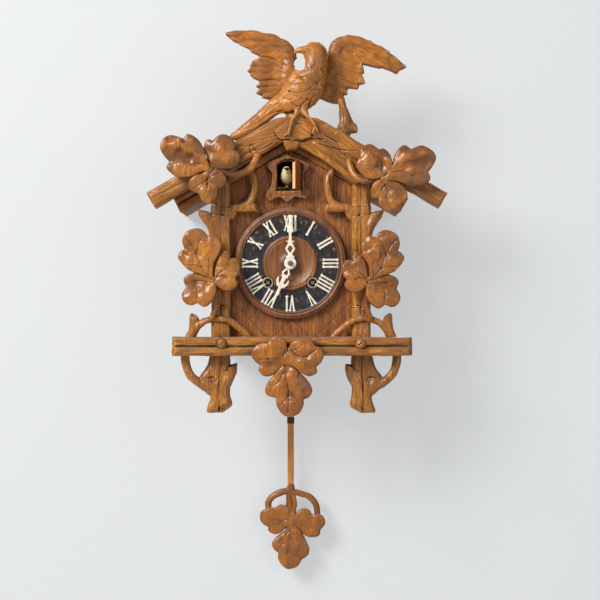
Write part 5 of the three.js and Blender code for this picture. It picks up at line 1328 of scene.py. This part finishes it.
def hand(name, node, body, angle, front, back, parts, holes, extra=()):
    """A pierced bone hand. parts are outlines, and rods (x0, z0, r0, x1, z1, r1), z along the hand."""
    across, out = np.array([math.cos(angle), -math.sin(angle)]), np.array([math.sin(angle), math.cos(angle)])

    def at(u, v):
        p = across * u + out * v
        return (p[0], p[1])

    reach = [at(u, v) for u in (-9, 9) for v in (-9, 61)]
    lower, upper = np.min(reach, axis=0), np.max(reach, axis=0)
    solid = Carving([lower[0], front, lower[1]], [upper[0], back, upper[1]], 0.36)
    cuts, (x, y, z) = solid.whole()
    side = np.full(np.broadcast(x, z).shape, FAR, np.float32)
    for part in parts:
        if len(part) == 6 and not isinstance(part[0], tuple):
            gap, t = segment_distance(x, z, at(part[0], part[1]), at(part[3], part[4]))
            side = soft_min(side, gap - (part[2] + (part[5] - part[2]) * t), 0.5)
        else:
            side = soft_min(side, polygon_distance(x, z, [at(*p) for p in part]), 0.5)
    for hole in holes:
        side = np.maximum(side, -polygon_distance(x, z, [at(*p) for p in hole]))
    edge = min(0.5, (back - front) * 0.4)
    u, w = side + edge, np.abs(y - (front + back) / 2) - (back - front) / 2 + edge
    gap = rounded(u, w, edge)
    solid.put(cuts, gap)
    for a, b, ra, rb in extra:
        solid.rod(a, b, ra, rb, 0.3)
    solid.rod((0, front - 6, 0), (0, -96 + 3, 0), 2.6, 2.6, 0.1, cut=True)
    carved(name, solid, bone, body, [node], rounds=1)


def mirrored_outline(points):
    """An outline and its mirror image in one closed row."""
    return points + [(-x, z) for x, z in reversed(points) if x > 0]


def hands():
    """Both pierced hands."""
    low, high = cad("minute_hand")
    length = high[2]
    minute = [(0, 0, 7.0, 0, 0.1, 7.0), (-3.6, 8, 1.1, 3.6, 8, 1.1), (-4.2, 7.2, 0.8, 4.2, 7.2, 0.8),
              (0, 6, 3.4, 0, 10.5, 2.6), (-1.2, 11, 1.1, -4.6, 17.2, 1.25),
              (-4.6, 17.2, 1.25, -1.4, 23.5, 1.2), (1.2, 11, 1.1, 4.6, 17.2, 1.25),
              (4.6, 17.2, 1.25, 1.4, 23.5, 1.2), (0, 23, 2.4, 0, 27, 2.2), (-4.6, 26.2, 0.5, 0, 25, 1.5),
              (4.6, 26.2, 0.5, 0, 25, 1.5), (0, 26, 1.9, 0, 37, 1.45),
              mirrored_outline([(0, length), (1.3, length - 1.6), (2.2, length - 12), (3.5, 41.5),
                                (3.9, 37.4), (1.4, 36.2), (0, 36)])]
    hand("hand_minute", "minute_hand", "minute_arbor", 0.0, low[1], high[1], minute, [])
    low, high = cad("hour_hand")
    front = low[1]
    angle = math.radians(203)
    hour = [(0, 0, 7.4, 0, 0.1, 7.4), (-0.9, 7.5, 1.1, -3.9, 13, 1.2), (-3.9, 13, 1.2, -1.2, 18.4, 1.2),
            (0.9, 7.5, 1.1, 3.9, 13, 1.2), (3.9, 13, 1.2, 1.2, 18.4, 1.2), (0, 17.5, 2.6, 0, 20, 2.0),
            (-4.2, 17.2, 0.6, 0, 18.2, 1.4), (4.2, 17.2, 0.6, 0, 18.2, 1.4), (0, 19, 1.9, 0, 30, 2.6),
            (0, 29.4, 2.6, -4.6, 27.6, 1.6), (-4.6, 27.6, 1.6, -6.4, 24, 1.2),
            (-6.4, 24, 1.2, -6.6, 20.4, 0.7), (0, 29.4, 2.6, 4.6, 27.6, 1.6),
            (4.6, 27.6, 1.6, 6.4, 24, 1.2), (6.4, 24, 1.2, 6.6, 20.4, 0.7), (-4.4, 30.4, 0.6, 0, 29.4, 1.8),
            (4.4, 30.4, 0.6, 0, 29.4, 1.8), (0, 29, 2.4, 0, 34, 1.6), (0, 34, 1.6, 0, 40, 2.0),
            (0, 40, 2.0, 0, 41.4, 0.8)]
    pipe = [((0, front + 1, 0), (0, high[1] - 0.3, 0), 3.5, 3.5)]
    reach_back = front + 1.6
    hand_with_pipe(hour, front, reach_back, angle, pipe)


def hand_with_pipe(parts, front, back, angle, pipe):
    """The hour hand and the pipe it turns on, as one piece."""
    across, out = np.array([math.cos(angle), -math.sin(angle)]), np.array([math.sin(angle), math.cos(angle)])

    def at(u, v):
        p = across * u + out * v
        return (p[0], p[1])

    low, high = cad("hour_hand")
    solid = Carving([low[0] - 1, front, low[2] - 1], [high[0] + 1, high[1], high[2] + 1], 0.4)
    cuts, (x, y, z) = solid.whole()
    side = np.full(np.broadcast(x, z).shape, FAR, np.float32)
    for u0, v0, r0, u1, v1, r1 in parts:
        gap, t = segment_distance(x, z, at(u0, v0), at(u1, v1))
        side = soft_min(side, gap - (r0 + (r1 - r0) * t), 0.5)
    edge = 0.5
    u, w = side + edge, np.abs(y - (front + back) / 2) - (back - front) / 2 + edge
    solid.put(cuts, rounded(u, w, edge))
    tube = np.maximum(np.hypot(x, z) - pipe[0][2], np.maximum(front + 0.4 - y, y - high[1]))
    solid.put(cuts, tube)
    solid.field[cuts] = np.maximum(solid.field[cuts], 2.7 - np.hypot(x, z))
    carved("hand_hour", solid, bone, "hour_pipe", ["hour_hand"], rounds=1)


def grommet(node):
    """A turned bone ring around a winding hole."""
    low, high = cad(node)
    cx, cz = (low[0] + high[0]) / 2, (low[2] + high[2]) / 2
    outer, inner, front, back = (high[0] - low[0]) / 2, 4.75, low[1], high[1]
    rows = [(inner, back), (outer, back), (outer, front + 1.6), (outer - 0.3, front + 0.7),
            (outer - 0.8, front + 0.2),
            (inner + 0.9, front), (inner + 0.2, front + 0.7), (inner, front + 1.6)]
    sides = 64
    points = [(cx + r * math.cos(t), y, cz + r * math.sin(t)) for r, y in rows
              for t in np.linspace(0, 2 * math.pi, sides, False)]
    faces = []
    for k in range(len(rows)):
        for i in range(sides):
            a, b = k * sides, ((k + 1) % len(rows)) * sides
            j = (i + 1) % sides
            faces.append((a + i, a + j, b + j, b + i))
    thing = mesh_object(f"turned_{node}", np.array(points) * MM, np.array(faces)[:, ::-1])
    thing.data.materials.append(grey_bone)
    dressed(thing, "case", [node])


# ---------------------------------------------------------------- the large bird

def bird_body():
    """The ridge bird's head, breast, legs and tail, with rows of feathers."""
    low, high = cad("bird_body")
    front, back = low[1], high[1]
    y = -120.5
    solid = Carving([-76, front, 147], [50, back, 266], MEDIUM)
    solid.ball((18, y, 211), (22.5, 14, 28), 0, -0.4)
    solid.ball((5, y + 1, 196), (24, 12.5, 17), 6, 0.5)
    solid.rod((28, y, 226), (31.5, y - 0.5, 246), 15.4, 13, 4)
    solid.ball((29, y - 1, 251), (13.2, 11.8, 12.6), 3)
    solid.limb([(21, y - 2, 253, 5.2), (14, y - 2.5, 253.4, 3.6), (9, y - 2.5, 252.6, 2.4),
                (5.6, y - 2.5, 250.8, 1.0)], 1.6)
    solid.limb([(-6, y + 3, 191.5, 10), (-17, y + 4, 188, 8.8), (-31, y + 5, 176, 7.6),
                (-47, y + 6, 162.6, 7.5),
                (-61, y + 6.5, 153.6, 5.2), (-70, y + 6.5, 150.6, 2)], 3, 0.75)
    solid.limb([(-1, y + 2, 174, 4), (4, y, 172.5, 8), (14, y, 172.5, 6)], 2)
    solid.limb([(12, -122, 186, 8), (9, -127, 180, 4.6), (6, -130.8, 174.5, 2.4), (1.5, -132.4, 168, 1.5),
                (-0.3, -132.8, 160, 1.3), (-2.2, -132.8, 152, 1.0)], 1.2)
    solid.limb([(14, -122, 186, 8), (17, -127, 179, 4.6), (20, -130.8, 174.5, 2.2), (26, -132.4, 168, 1.4),
                (30, -132.8, 161.5, 1.2), (32.8, -132.8, 155.5, 1.0)], 1.2)
    solid.limb([(-0.5, -132.6, 158, 1.4), (-4, -131.6, 153.5, 1.2), (-6.5, -131, 151, 0.9)], 0.6)
    solid.limb([(29.5, -132.4, 160.5, 1.3), (27, -131.8, 156, 1.1), (26, -131.4, 153.5, 0.8)], 0.6)
    # feathers on breast and neck: rows of upturned bows
    axis = np.array([math.sin(0.36), math.cos(0.36)])
    across = np.array([axis[1], -axis[0]])
    centre = np.array([16, 211])
    random = np.random.default_rng(4)
    for row in range(-3, 4):
        for column in range(-2, 3):
            offset = (column + (row % 2) * 0.5) * 13.5 + random.uniform(-2, 2)
            p = centre + axis * (row * 10.5 + random.uniform(-2, 2)) + across * offset
            if np.hypot(offset / 20, row * 10.5 / 34) > 1 or p[1] > 240:
                continue
            wide, tall = random.uniform(4.6, 7), random.uniform(1.8, 3.6)
            lean = random.uniform(-0.5, 0.5)
            bow = [tuple(p + across * (t * wide) + axis * (tall * (t * t - 1) + lean * t * wide))
                   for t in (-1, -0.5, 0, 0.5, 1)]
            solid.scoop([tuple(q) for q in curve(bow, 3)][::-1], random.uniform(0.9, 1.5), 3.4, y)
    for line in ([(-8, 181), (-20, 179), (-36, 167), (-56, 154)],
                 [(-15, 190), (-27, 181), (-42, 169), (-62, 157)],
                 [(-22, 188), (-34, 179), (-48, 168), (-62, 158.5)], [(10, 180), (14, 188), (22, 194)],
                 [(22, 186), (24, 193), (28, 198)], [(-2, 204), (8, 201), (18, 203), (26, 208.5)],
                 [(25, 231), (28, 232.5), (30.5, 236)], [(37, 229), (41, 224), (44, 222)],
                 [(7, 219), (12, 220), (17, 216)], [(33, 262), (38, 256), (43, 246)]):
        solid.groove(curve(line, 5), 0.65, 1.1, y)
    for line in ([(-66, 153), (-46, 161.5), (-28, 173), (-12, 186)], [(26, 209.5), (31, 211), (37, 215)]):
        solid.scoop(curve(line, 5), 1.3, 3.5, y + 4)
    solid.groove(curve([(19, 249.5), (14, 250.8), (9, 250.6)], 4), 0.5, 0.7, y)
    solid.groove(curve([(17.4, 248), (18.4, 252.5), (17, 256.5)], 4), 0.5, 0.5, y)
    for z, r in ((234.6, 6.4), (240.6, 6.8)):
        solid.rod((11.4, front - 4, z), (11.4, back + 4, z), r, r, 1, cut=True)
    ring = [(22.2 + 2.2 * math.cos(t), 252 + 1.8 * math.sin(t)) for t in np.linspace(0, 2 * math.pi, 13)]
    solid.groove(ring, 0.6, 1.1, y)
    solid.wobble(0.3, 8, 81)
    carved("carved_bird_body", solid, plumage, "case", ["bird_body"])


LEFT_WING = [(-77.1, 276.7), (-60, 278), (-45.7, 278.5), (-33, 277), (-23, 273.7), (-14, 270.5),
             (-7.5, 266.5), (0, 259), (5, 251.5), (6.6, 247), (4.6, 241), (3.6, 235), (6, 230), (10, 226),
             (8, 205), (-11, 200), (-22, 197), (-28, 197.5), (-33.5, 199.5), (-33.6, 202), (-41.3, 205),
             (-36, 210.5), (-41, 213), (-36, 218), (-38, 220), (-44, 223), (-48.5, 227), (-47.6, 229.5),
             (-51.7, 231.5), (-47.6, 236), (-48.2, 239), (-46, 242.5), (-42, 245.6), (-36.4, 248.4),
             (-42, 251.5), (-47.4, 255), (-48.4, 257), (-55, 260), (-61, 263.4), (-62.5, 265), (-68, 267.4),
             (-72, 270.4), (-70.8, 272)]
RIGHT_WING = [(47.4, 243), (48.5, 250), (49, 257), (50.2, 263), (53.5, 267.5), (60, 270.6), (68, 272.3),
              (76, 271.8), (88, 268.2), (98.8, 263.6), (110, 257.4), (121.4, 249.6), (131, 242),
              (138.5, 236.5), (135, 233.8), (130.2, 231.6), (129.6, 229.2), (127.4, 228.8), (118, 232.6),
              (113.5, 234.4), (110.4, 236), (108, 234.8), (98, 237), (87, 239.8), (88.6, 234),
              (89.6, 228.8), (86, 228), (90.3, 217.4), (90, 215.6), (81.4, 215), (82, 211.5), (80.8, 210),
              (68.2, 210.5), (68.8, 204.5), (67.7, 203), (64.2, 202.6), (65.3, 197.5), (63.6, 194.6),
              (58, 192.4), (52, 192.5), (42, 195.5), (33, 200), (26, 215), (32, 235), (40, 241)]


def bird_wings():
    """Both wings, with their feathers cut along their length."""
    low, high = cad("bird_wing_left")
    front, back = low[1], high[1]
    solid = Carving([-78, front - 1, 195], [12, back, 280], MEDIUM)
    solid.slab(LEFT_WING, front, back, 2.6)
    solid.limb([(-74, front + 5.5, 275.4, 2.4), (-50, front + 5.4, 274.4, 4.2), (-24, front + 5.6, 269, 5.4),
                (-6, front + 6, 259, 6), (0, front + 6.4, 246, 6), (-1, front + 6, 228, 7),
                (2, front + 5, 212, 9)], 5)
    lines = [[(-71, 271), (-50, 268), (-25, 262), (-4, 252)],
             [(-62, 264.5), (-42, 260.5), (-20, 254), (-3, 243)],
             [(-48, 256.5), (-34, 253.5), (-18, 247), (-6, 238)],
             [(-36.5, 248.4), (-30, 249), (-20, 247), (-8, 239)],
             [(-47, 241), (-34, 242), (-20, 239), (-6, 232)], [(-48, 236), (-36, 234), (-22, 231), (-8, 226)],
             [(-48, 229.3), (-36, 228.4), (-24, 226), (-10, 221)],
             [(-38, 219.5), (-28, 221), (-20, 221.6), (-10, 217)],
             [(-37, 212), (-26, 213.5), (-16, 212), (-6, 206)],
             [(-34, 202.6), (-24, 205), (-14, 204), (-8, 201)]]
    depths = [1.0, 0.8, 0.8, 2.2, 1.2, 1.2, 1.2, 2.0, 1.5, 1.2]
    for line, depth in zip(lines, depths):
        way = curve(line, 5)
        solid.scoop(way[::-1] if line[0][1] in (248.4, 219.5, 212) else way, depth, 5, (front + back) / 2)
        solid.groove(way, 0.55, 0.45, (front + back) / 2)
    for x in (-66, -56, -44, -32, -20):
        solid.groove([(x, 273 - (x + 66) * 0.02), (x + 14, 268 - (x + 66) * 0.12)], 0.5, 0.3, front + 5)
    for z, r in ((234.6, 6.6), (240.6, 7)):
        solid.rod((11.4, front - 4, z), (11.4, back + 4, z), r, r, 1, cut=True)
    solid.wobble(0.5, 9, 82, (2, 1, 1))
    carved("carved_bird_wing_left", solid, wing_wood[-1], "case", ["bird_wing_left"])

    solid = Carving([25, front - 1, 190], [140, back, 274], MEDIUM)
    solid.slab(RIGHT_WING, front, back, 2.4)
    solid.limb([(136, front + 6, 237, 1.6), (112, front + 5.5, 252, 4.4), (86, front + 5.4, 264, 5),
                (66, front + 5.6, 266, 6),
                (55, front + 6, 258, 6.5), (53, front + 7, 244, 6.5), (50, front + 8, 226, 7)], 5)
    for line, depth in (([(129.8, 231), (112, 238), (96, 243), (80, 250)], 0.7),
                        ([(134, 236), (114, 246), (92, 253), (76, 258)], 0.6),
                        ([(110.4, 236), (98, 240), (86, 243), (74, 250)], 0.6),
                        ([(86.6, 240), (80, 244), (75, 250), (72, 258)], 1.3),
                        ([(86, 228), (76, 230), (66, 234), (58, 240)], 0.7),
                        ([(81, 215.3), (72, 218), (64, 222), (56, 228)], 0.7),
                        ([(68.6, 210.6), (62, 212), (56, 216), (50, 222)], 0.7),
                        ([(64.4, 203), (58, 204), (52, 207), (46, 212)], 0.7)):
        way = curve(line, 5)
        solid.scoop(way, depth, 5, (front + back) / 2)
        solid.groove(way, 0.5, 0.3, (front + back) / 2)
    solid.groove(curve([(74.6, 262), (76, 258), (76.6, 254), (75.4, 251.6)], 4), 0.5, 0.8, front + 6)
    solid.wobble(0.5, 8, 83, (2, 1, 1))
    carved("carved_bird_wing_right", solid, wing_wood[1], "case", ["bird_wing_right"])


def wing_stump():
    """The branch stump beside the bird."""
    low, high = cad("wing_stump")
    front, back = low[1], high[1]
    y = (front + back) / 2
    solid = Carving([48, front - 2, 138], [82, back, 197], MEDIUM)
    outline = curve([(57.4, 195), (59.2, 186), (60, 176), (59.4, 168), (58, 162), (54.6, 156), (56, 148),
                     (70, 143), (76, 144), (71.6, 149), (71.2, 153), (74, 156.4), (79, 157.2), (80.4, 160),
                     (79.6, 163.6), (75, 168), (71, 176), (67.4, 186), (64.6, 195)], 2)
    solid.slab([tuple(p) for p in outline], front, back, 5)
    solid.limb([(61, y - 3, 194, 3.4), (64, y - 3, 180, 4.6), (65, y - 3, 166, 6), (63, y - 3, 156, 6.4)], 3)
    solid.limb([(68, y - 2, 163, 5), (74, y - 2, 161, 5), (80, y - 2, 160, 4.2)], 2)
    solid.trim((79.6, y, 160), (1, -0.3, 0.2), 0.6)
    for line in ([(62, 190), (64, 178), (64, 166)], [(59, 168), (62, 162), (60, 156)],
                 [(71, 156), (68, 160), (62, 160)]):
        solid.groove(curve(line, 4), 0.6, 0.7, y)
    solid.wobble(0.4, 8, 84, (1, 1, 2))
    carved("carved_wing_stump", solid, upright, "case", ["wing_stump"])


# ---------------------------------------------------------------- cuckoo and bellows

def cuckoo():
    """The cuckoo in the doorway and its upper beak."""
    low, high = cad("cuckoo")
    x = (low[0] + high[0]) / 2
    solid = Carving([x - 8, low[1], 94], [x + 8, high[1] + 1, 118], 0.38)
    solid.limb([(x, -84, 99.4, 3), (x, -90, 101, 5), (x, -97, 103.4, 6.8), (x, -103, 106, 6),
                (x, -107, 109.5, 4.8)], 1.5)
    solid.ball((x, -108, 111.6), (4.7, 4.9, 4.8), 1.2)
    solid.limb([(x, -92, 99.6, 3.4), (x, -85, 98.8, 2.6), (x, -78.6, 98.2, 2)], 1, 1)
    for side in (-1, 1):
        solid.limb([(x + side * 4.6, -101, 104.6, 2.8), (x + side * 5.2, -95, 103.4, 2.6),
                    (x + side * 4, -87, 101.4, 1.4)], 0.3)
    carved("carved_cuckoo", solid, cream, "bird_arm", ["cuckoo"])
    solid = Carving([x - 4, low[1], 110], [x + 4, -109, 116], 0.3)
    solid.limb([(x, -111, 112.6, 2.3), (x, -114, 113, 1.7), (x, -117, 112.8, 1.1), (x, -119.3, 112.0, 0.45)],
               0.4)
    for side in (-1, 1):
        solid.ball((x + side * 2.9, -111.6, 113.6), (0.9, 0.8, 0.9), 0.1)
    carved("cuckoo_upper_beak", solid, beak_paint, "bird_arm", [])


def bellows(side):
    """A pleated paper bag between the whistle and the lifting board above it."""
    name = "left" if side < 0 else "right"
    low, high = cad(f"bellows_{name}")
    folds, inset = 4, 1.6
    levels = np.linspace(low[2] - 0.2, high[2] + 0.4, 2 * folds + 1)
    points, faces = [], []
    for i, z in enumerate(levels):
        d = inset if i % 2 else 0.0
        x0, x1, y0, y1 = low[0] + d, high[0] - d, low[1] + d, high[1] - d
        edge = [(x0, y0), (x1, y0), (x1, y1), (x0, y1)]
        for (ax, ay), (bx, by) in zip(edge, edge[1:] + edge[:1]):
            points += [(ax + (bx - ax) * t, ay + (by - ay) * t, z) for t in (0, 0.25, 0.5, 0.75)]
    ring = 16
    for i in range(len(levels) - 1):
        for k in range(ring):
            a, b = i * ring + k, i * ring + (k + 1) % ring
            c, d = (i + 1) * ring + (k + 1) % ring, (i + 1) * ring + k
            faces.append((a, b, c, d))
    for level, turned in ((0, True), (len(levels) - 1, False)):
        z = levels[level]
        centre = len(points)
        points.append(((low[0] + high[0]) / 2, (low[1] + high[1]) / 2, z))
        for k in range(0, ring, 2):
            a, b, c = (level * ring + (k + j) % ring for j in range(3))
            faces.append((centre, c, b, a) if turned else (centre, a, b, c))
    thing = mesh_object(f"pleated_bellows_{name}", np.array(points) * MM, np.array(faces), smooth=False)
    thing.data.materials.append(paper)
    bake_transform(thing)
    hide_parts(f"bellows_{name}")


# ---------------------------------------------------------------- pendulum

def pendulum():
    """The rod with its clip, and the bob of three leaves."""
    low, high = cad("pendulum_rod")
    y = (low[1] + high[1]) / 2
    solid = Carving([-4.2, low[1], low[2] - 1], [4.2, high[1], high[2]], 0.45)
    outline = [(-4, low[2] - 1), (4, low[2] - 1), (4, high[2] - 1.5), (2.6, high[2]), (-2.6, high[2]),
               (-4, high[2] - 1.5)]
    solid.slab(outline, low[1], high[1], 0.9)
    solid.rod((0, low[1] - 1, high[2] - 3), (0, high[1] + 1, high[2] - 3), 0.7, 0.7, 0.1, cut=True)
    solid.wobble(0.1, 9, 91, (1, 1, 4))
    carved("carved_pendulum_rod", solid, rod_wood, "pendulum", ["pendulum_rod"])
    # a thin brass clip around the rod
    solid = Carving([-4.8, low[1] - 0.8, -199], [4.8, high[1] + 0.8, -190], 0.3)
    solid.slab([(-4.5, -198.6), (4.5, -198.6), (4.5, -190.7), (-4.5, -190.7)], low[1] - 0.6, high[1] + 0.6,
               0.6)
    for z in (-197.6, -191.7):
        solid.groove([(-6, z), (6, z)], 0.35, 0.3)
    carved("pendulum_clip", solid, old_brass, "pendulum", [], rounds=1)

    low, high = cad("pendulum_bob")
    front, back = low[1], high[1]
    lean = -3.0
    solid = Carving([-41, front, -384], [44, back, -274], MEDIUM)
    # everything sits a little to the left so that the rod hangs plumb
    move = (lean, 0)

    def limb(rows, soft=1.0, deep=1.0):
        solid.limb([(x + lean, py, z, r) for x, py, z, r in rows], soft, deep)

    limb([(2, y, -282, 4), (-9, y, -284.5, 4), (-19, y, -289.5, 3.8), (-24.6, y, -296.5, 3.7),
          (-25, y + 1, -306, 3.6)])
    limb([(3, y, -284, 4), (14, y, -285.5, 3.9), (26, y, -290, 3.8), (34, y, -299, 3.7),
          (36.6, y + 1, -312, 3.6)])
    limb([(3.4, y, -278, 4.6), (1.4, y, -288, 4.4), (2.2, y, -303, 4.2), (3, y - 1, -322, 4.6)], 0.4)
    limb([(3, y - 1, -279, 3.4), (6.6, y - 1.5, -289, 2.8), (7.8, y - 1.5, -302, 2.8),
          (5, y - 2.5, -322, 3)], 0.3)
    solid.leaf([[(2, -322), (1.8, -308), (-3, -301.5), (-10, -299.8), (-15.8, -303.5)],
                [(-15.8, -303.5), (-25.3, -303.5), (-34, -309.5), (-35.4, -318.5), (-30, -325.6),
                 (-25.1, -327.6)],
                [(-25.1, -327.6), (-24.5, -333.5), (-16, -336.8), (-8, -333.5), (1, -325)]],
               [(-9, -304, 2), (-5, -308, 0.6), (-14, -310, 1), (-24, -308, 1.2), (-30, -312, 1.6),
                (-24, -316, 0), (-32, -320, 2), (-14, -318, 1.4), (-4, -316, 1.4), (-10, -324, 3.6),
                (-20, -324, 1.8), (-20, -331, 1.4), (-12, -333, 1.4), (-4, -325, 2.4), (-24, -333, 2.4),
                (1, -320, 1.6)], front, shift=move)
    solid.leaf([[(4, -323), (7.9, -313), (14, -306.4), (21, -304.2), (27, -307.5), (28.5, -312.1)],
                [(28.5, -312.1), (37.9, -311), (45, -316), (45.8, -325), (39.9, -331.9)],
                [(39.9, -331.9), (39, -338), (31, -341.2), (20.6, -338.3), (14, -331), (6, -324)]],
               [(14, -312, 1.6), (20, -308, 1.6), (22, -315, 1), (14, -318, 1.8), (28, -318, 2.4),
                (35, -315, 1), (42, -319, 2), (36, -322, 0.4), (28, -326, 2.8), (18, -325, 2.6),
                (40, -328, 1.8), (34, -332, 1), (26, -334, 1), (34, -338, 2.4), (22, -331, 2),
                (10, -322, 1.6)], front, shift=move)
    solid.leaf([[(2, -322), (-4, -332), (-16, -341.5), (-20.9, -350), (-17.5, -356.5), (-12.5, -359.6)],
                [(-12.5, -359.6), (-12.5, -369), (-7, -377.2), (0.8, -380.8), (11.5, -377), (17.4, -368.3)],
                [(17.4, -368.3), (24, -364), (26.2, -355), (22, -344), (15.5, -332), (4, -322)]],
               [(-4, -332, 2), (-12, -344, 1.4), (-16, -350, 1.2), (-16, -355, 2.4), (-6, -346, 3),
                (-2, -340, 0.6), (0, -350, 0), (-6, -356, 0.6), (2.4, -340, 3), (2.4, -352, 2.8),
                (8, -340, 0.6), (10, -350, 0), (18, -350, 1.6), (22, -358, 2.2), (16, -358, 2.8),
                (13, -364, 3.2), (4, -362, 2), (-8, -366, 1.8), (0, -370, 0.6), (8, -370, 1.4),
                (0, -377, 2), (18, -344, 1.6), (12, -334, 1.4), (5, -328, 1.4)], front, shift=move)
    solid.rod((1 + lean, front + 9, -322), (1 + lean, back - 3, -300), 7, 4, 2)
    inner = front + 8
    veins(solid, [[(1, -318), (2.4, -334), (2.2, -352), (0, -362)], [(1, -333), (-6, -341), (-14, -349)],
                  [(2.6, -333), (9, -338), (13, -345)], [(0, -318), (-12, -320), (-24, -316)],
                  [(5, -319), (16, -324), (26, -330)],
                  [(-5, -331), (0, -345), (-1, -360)], [(20, -334), (16.5, -338), (20, -342)]], inner, 1,
          move, 0.7, 0.9)
    solid.wobble(0.25, 9, 92)
    carved("carved_pendulum_bob", solid, leaf_bob, "pendulum", ["pendulum_bob"])


def hand_nut():
    """A low dark steel nut that holds the hands."""
    low, high = cad("hand_nut")
    front, back = low[1], high[1]
    radius = (high[0] - low[0]) / 2
    solid = Carving([-radius, front - 1.2, -radius], [radius, back, radius], 0.3)
    solid.rod((0, back - 0.2, 0), (0, front + 1, 0), radius, radius * 0.96, 0)
    solid.field = np.maximum(solid.field, (solid.axes[1].reshape(1, -1, 1) - back))
    solid.trim((0, front, 0), (0, -1, 0), 0.6)
    for k in range(12):
        t = k * math.pi / 6
        spot = (radius * 1.08 * math.cos(t), radius * 1.08 * math.sin(t))
        solid.rod((spot[0], front - 2, spot[1]), (spot[0], back + 2, spot[1]), 0.45, 0.45, 0.1, cut=True)
    solid.rod((0, front - 1, 0), (0, back, 0), 1.1, 1.1, 0.2)
    carved("turned_hand_nut", solid, old_steel, "minute_arbor", ["hand_nut"], rounds=1)


# ---------------------------------------------------------------- build

for which in (-1, 1):
    eave_leaves(which)
    side_leaves(which)
    branch_frame(which)
    rafter(which)
    roof(which)
    bellows(which)
bottom_leaves()
bottom_beam()
wooden_screw("beam_screw_left", math.radians(40))
wooden_screw("beam_screw_right", math.radians(38))
repainted(board, lambda f, color: lattice(f, color, LATTICE, 0.55, LATTICE_STARTS))
repainted(door_wood, pale_edge)
front_board()
door_surround()
dial()
pins = [spot for hour in range(1, 13) for spot in numeral(hour)]
numeral_pins(pins)
hands()
hand_nut()
for grommet_node in ("winding_grommet_left", "winding_grommet_right"):
    grommet(grommet_node)
bird_body()
bird_wings()
wing_stump()
cuckoo()
pendulum()

FINISHES = {"case_side_left": casing, "case_side_right": casing, "case_floor": casing, "back_panel": casing,
            "side_door_right": casing, "bird_door": door_wood, "hanger_plate": steel,
            "cuckoo_beak": mouth_paint,
            "gong": wire, "pendulum_hook": wire, "arbor_time": steel, "arbor_strike": steel, "hammer": wire,
            "anchor": steel, "whistle_left": pale, "whistle_right": pale, "bellows_top_left": pale,
            "bellows_top_right": pale}
for node_name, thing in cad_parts.items():
    for slot in thing.material_slots:
        slot.material = FINISHES.get(node_name, brass)


# ---------------------------------------------------------------- stage

def plane(name, corners, material):
    thing = mesh_object(name, np.array(corners, float), np.array([[0, 1, 2, 3]]), smooth=False)
    thing.data.materials.append(material)
    return thing


def wall_finish():
    """Matte white paint that also glows a little as painted light, away from the case; seen from the front
    only.
    """
    f = Finish("wall_paint")
    f.shader.inputs["Roughness"].default_value = 0.95
    tooth = f.noise(f.place((0, 0, 0), (0.25, 0.25, 0.25)), 1.0, 5.0)
    f.feed(f.shader.inputs["Base Color"], f.mix(tooth, srgb(146, 148, 150), srgb(152, 154, 155)))
    # part of its light is its own, so that shadows on it stay pale; none comes from behind the case
    parts = f.node("SeparateXYZ", Vector=f.place())
    aside = f.range(f.math("ABSOLUTE", parts.outputs[0]), 50, 80)
    above = f.range(f.math("ABSOLUTE", f.math("SUBTRACT", parts.outputs[2], 15)), 100, 130)
    glow = f.mix(f.math("MAXIMUM", aside, above), srgb(0, 0, 0), srgb(229, 231, 233))
    f.feed(f.shader.inputs["Emission Color"], glow)
    f.shader.inputs["Emission Strength"].default_value = 0.54
    f.bump(tooth, 0.3, 0.3)
    clear = f.node("BsdfTransparent")
    seen = f.node("MixShader")
    f.feed(seen.inputs[0], f.node("NewGeometry").outputs["Backfacing"])
    f.feed(seen.inputs[1], f.shader.outputs[0])
    f.feed(seen.inputs[2], clear.outputs[0])
    f.feed(f.tree.nodes["Material Output"].inputs["Surface"], seen.outputs[0])
    return f.material


def floor_finish():
    f = Finish("floor_pale")
    f.shader.inputs["Base Color"].default_value = srgb(214, 214, 212)
    f.shader.inputs["Roughness"].default_value = 0.9
    return f.material


WALL = 0.0012
FLOOR = -0.92
wall = plane("wall", [(-3, WALL, FLOOR), (3, WALL, FLOOR), (3, WALL, 2.4), (-3, WALL, 2.4)], wall_finish())
for ray in ("visible_diffuse", "visible_glossy", "visible_shadow"):
    setattr(wall, ray, False)
plane("floor", [(-6, -6, FLOOR), (6, -6, FLOOR), (6, 6, FLOOR), (-6, 6, FLOOR)], floor_finish())


def area_light(name, place, target, size, power, color=(1, 1, 1)):
    data = bpy.data.lights.new(name, "AREA")
    data.size, data.energy, data.color = size, power, color
    thing = bpy.data.objects.new(name, data)
    thing.location = place
    way = Vector(target) - Vector(place)
    thing.rotation_euler = way.to_track_quat("-Z", "Y").to_euler()
    bpy.context.scene.collection.objects.link(thing)


area_light("key", (-1.6, -1.7, 1.35), (0, -0.05, 0), 1.1, 82, (1.0, 0.985, 0.955))
area_light("fill", (1.7, -2.0, 0.5), (0, -0.05, 0), 1.8, 13, (0.95, 0.97, 1.0))
area_light("back", (0.6, 2.2, 1.4), (0, 0, 0), 1.6, 30)

world = bpy.data.worlds.new("studio")
bpy.context.scene.world = world
world.use_nodes = True
world.node_tree.nodes["Background"].inputs["Color"].default_value = srgb(236, 240, 246)
world.node_tree.nodes["Background"].inputs["Strength"].default_value = 0.3

camera_data = bpy.data.cameras.new("camera")
camera_data.lens = 99.75
camera = bpy.data.objects.new("camera", camera_data)
camera.location = (0.0116, -2.1, -0.0439)
camera.rotation_euler = (math.radians(90), 0, 0)
bpy.context.scene.collection.objects.link(camera)
bpy.context.scene.camera = camera
bpy.context.scene.view_settings.view_transform = "Standard"
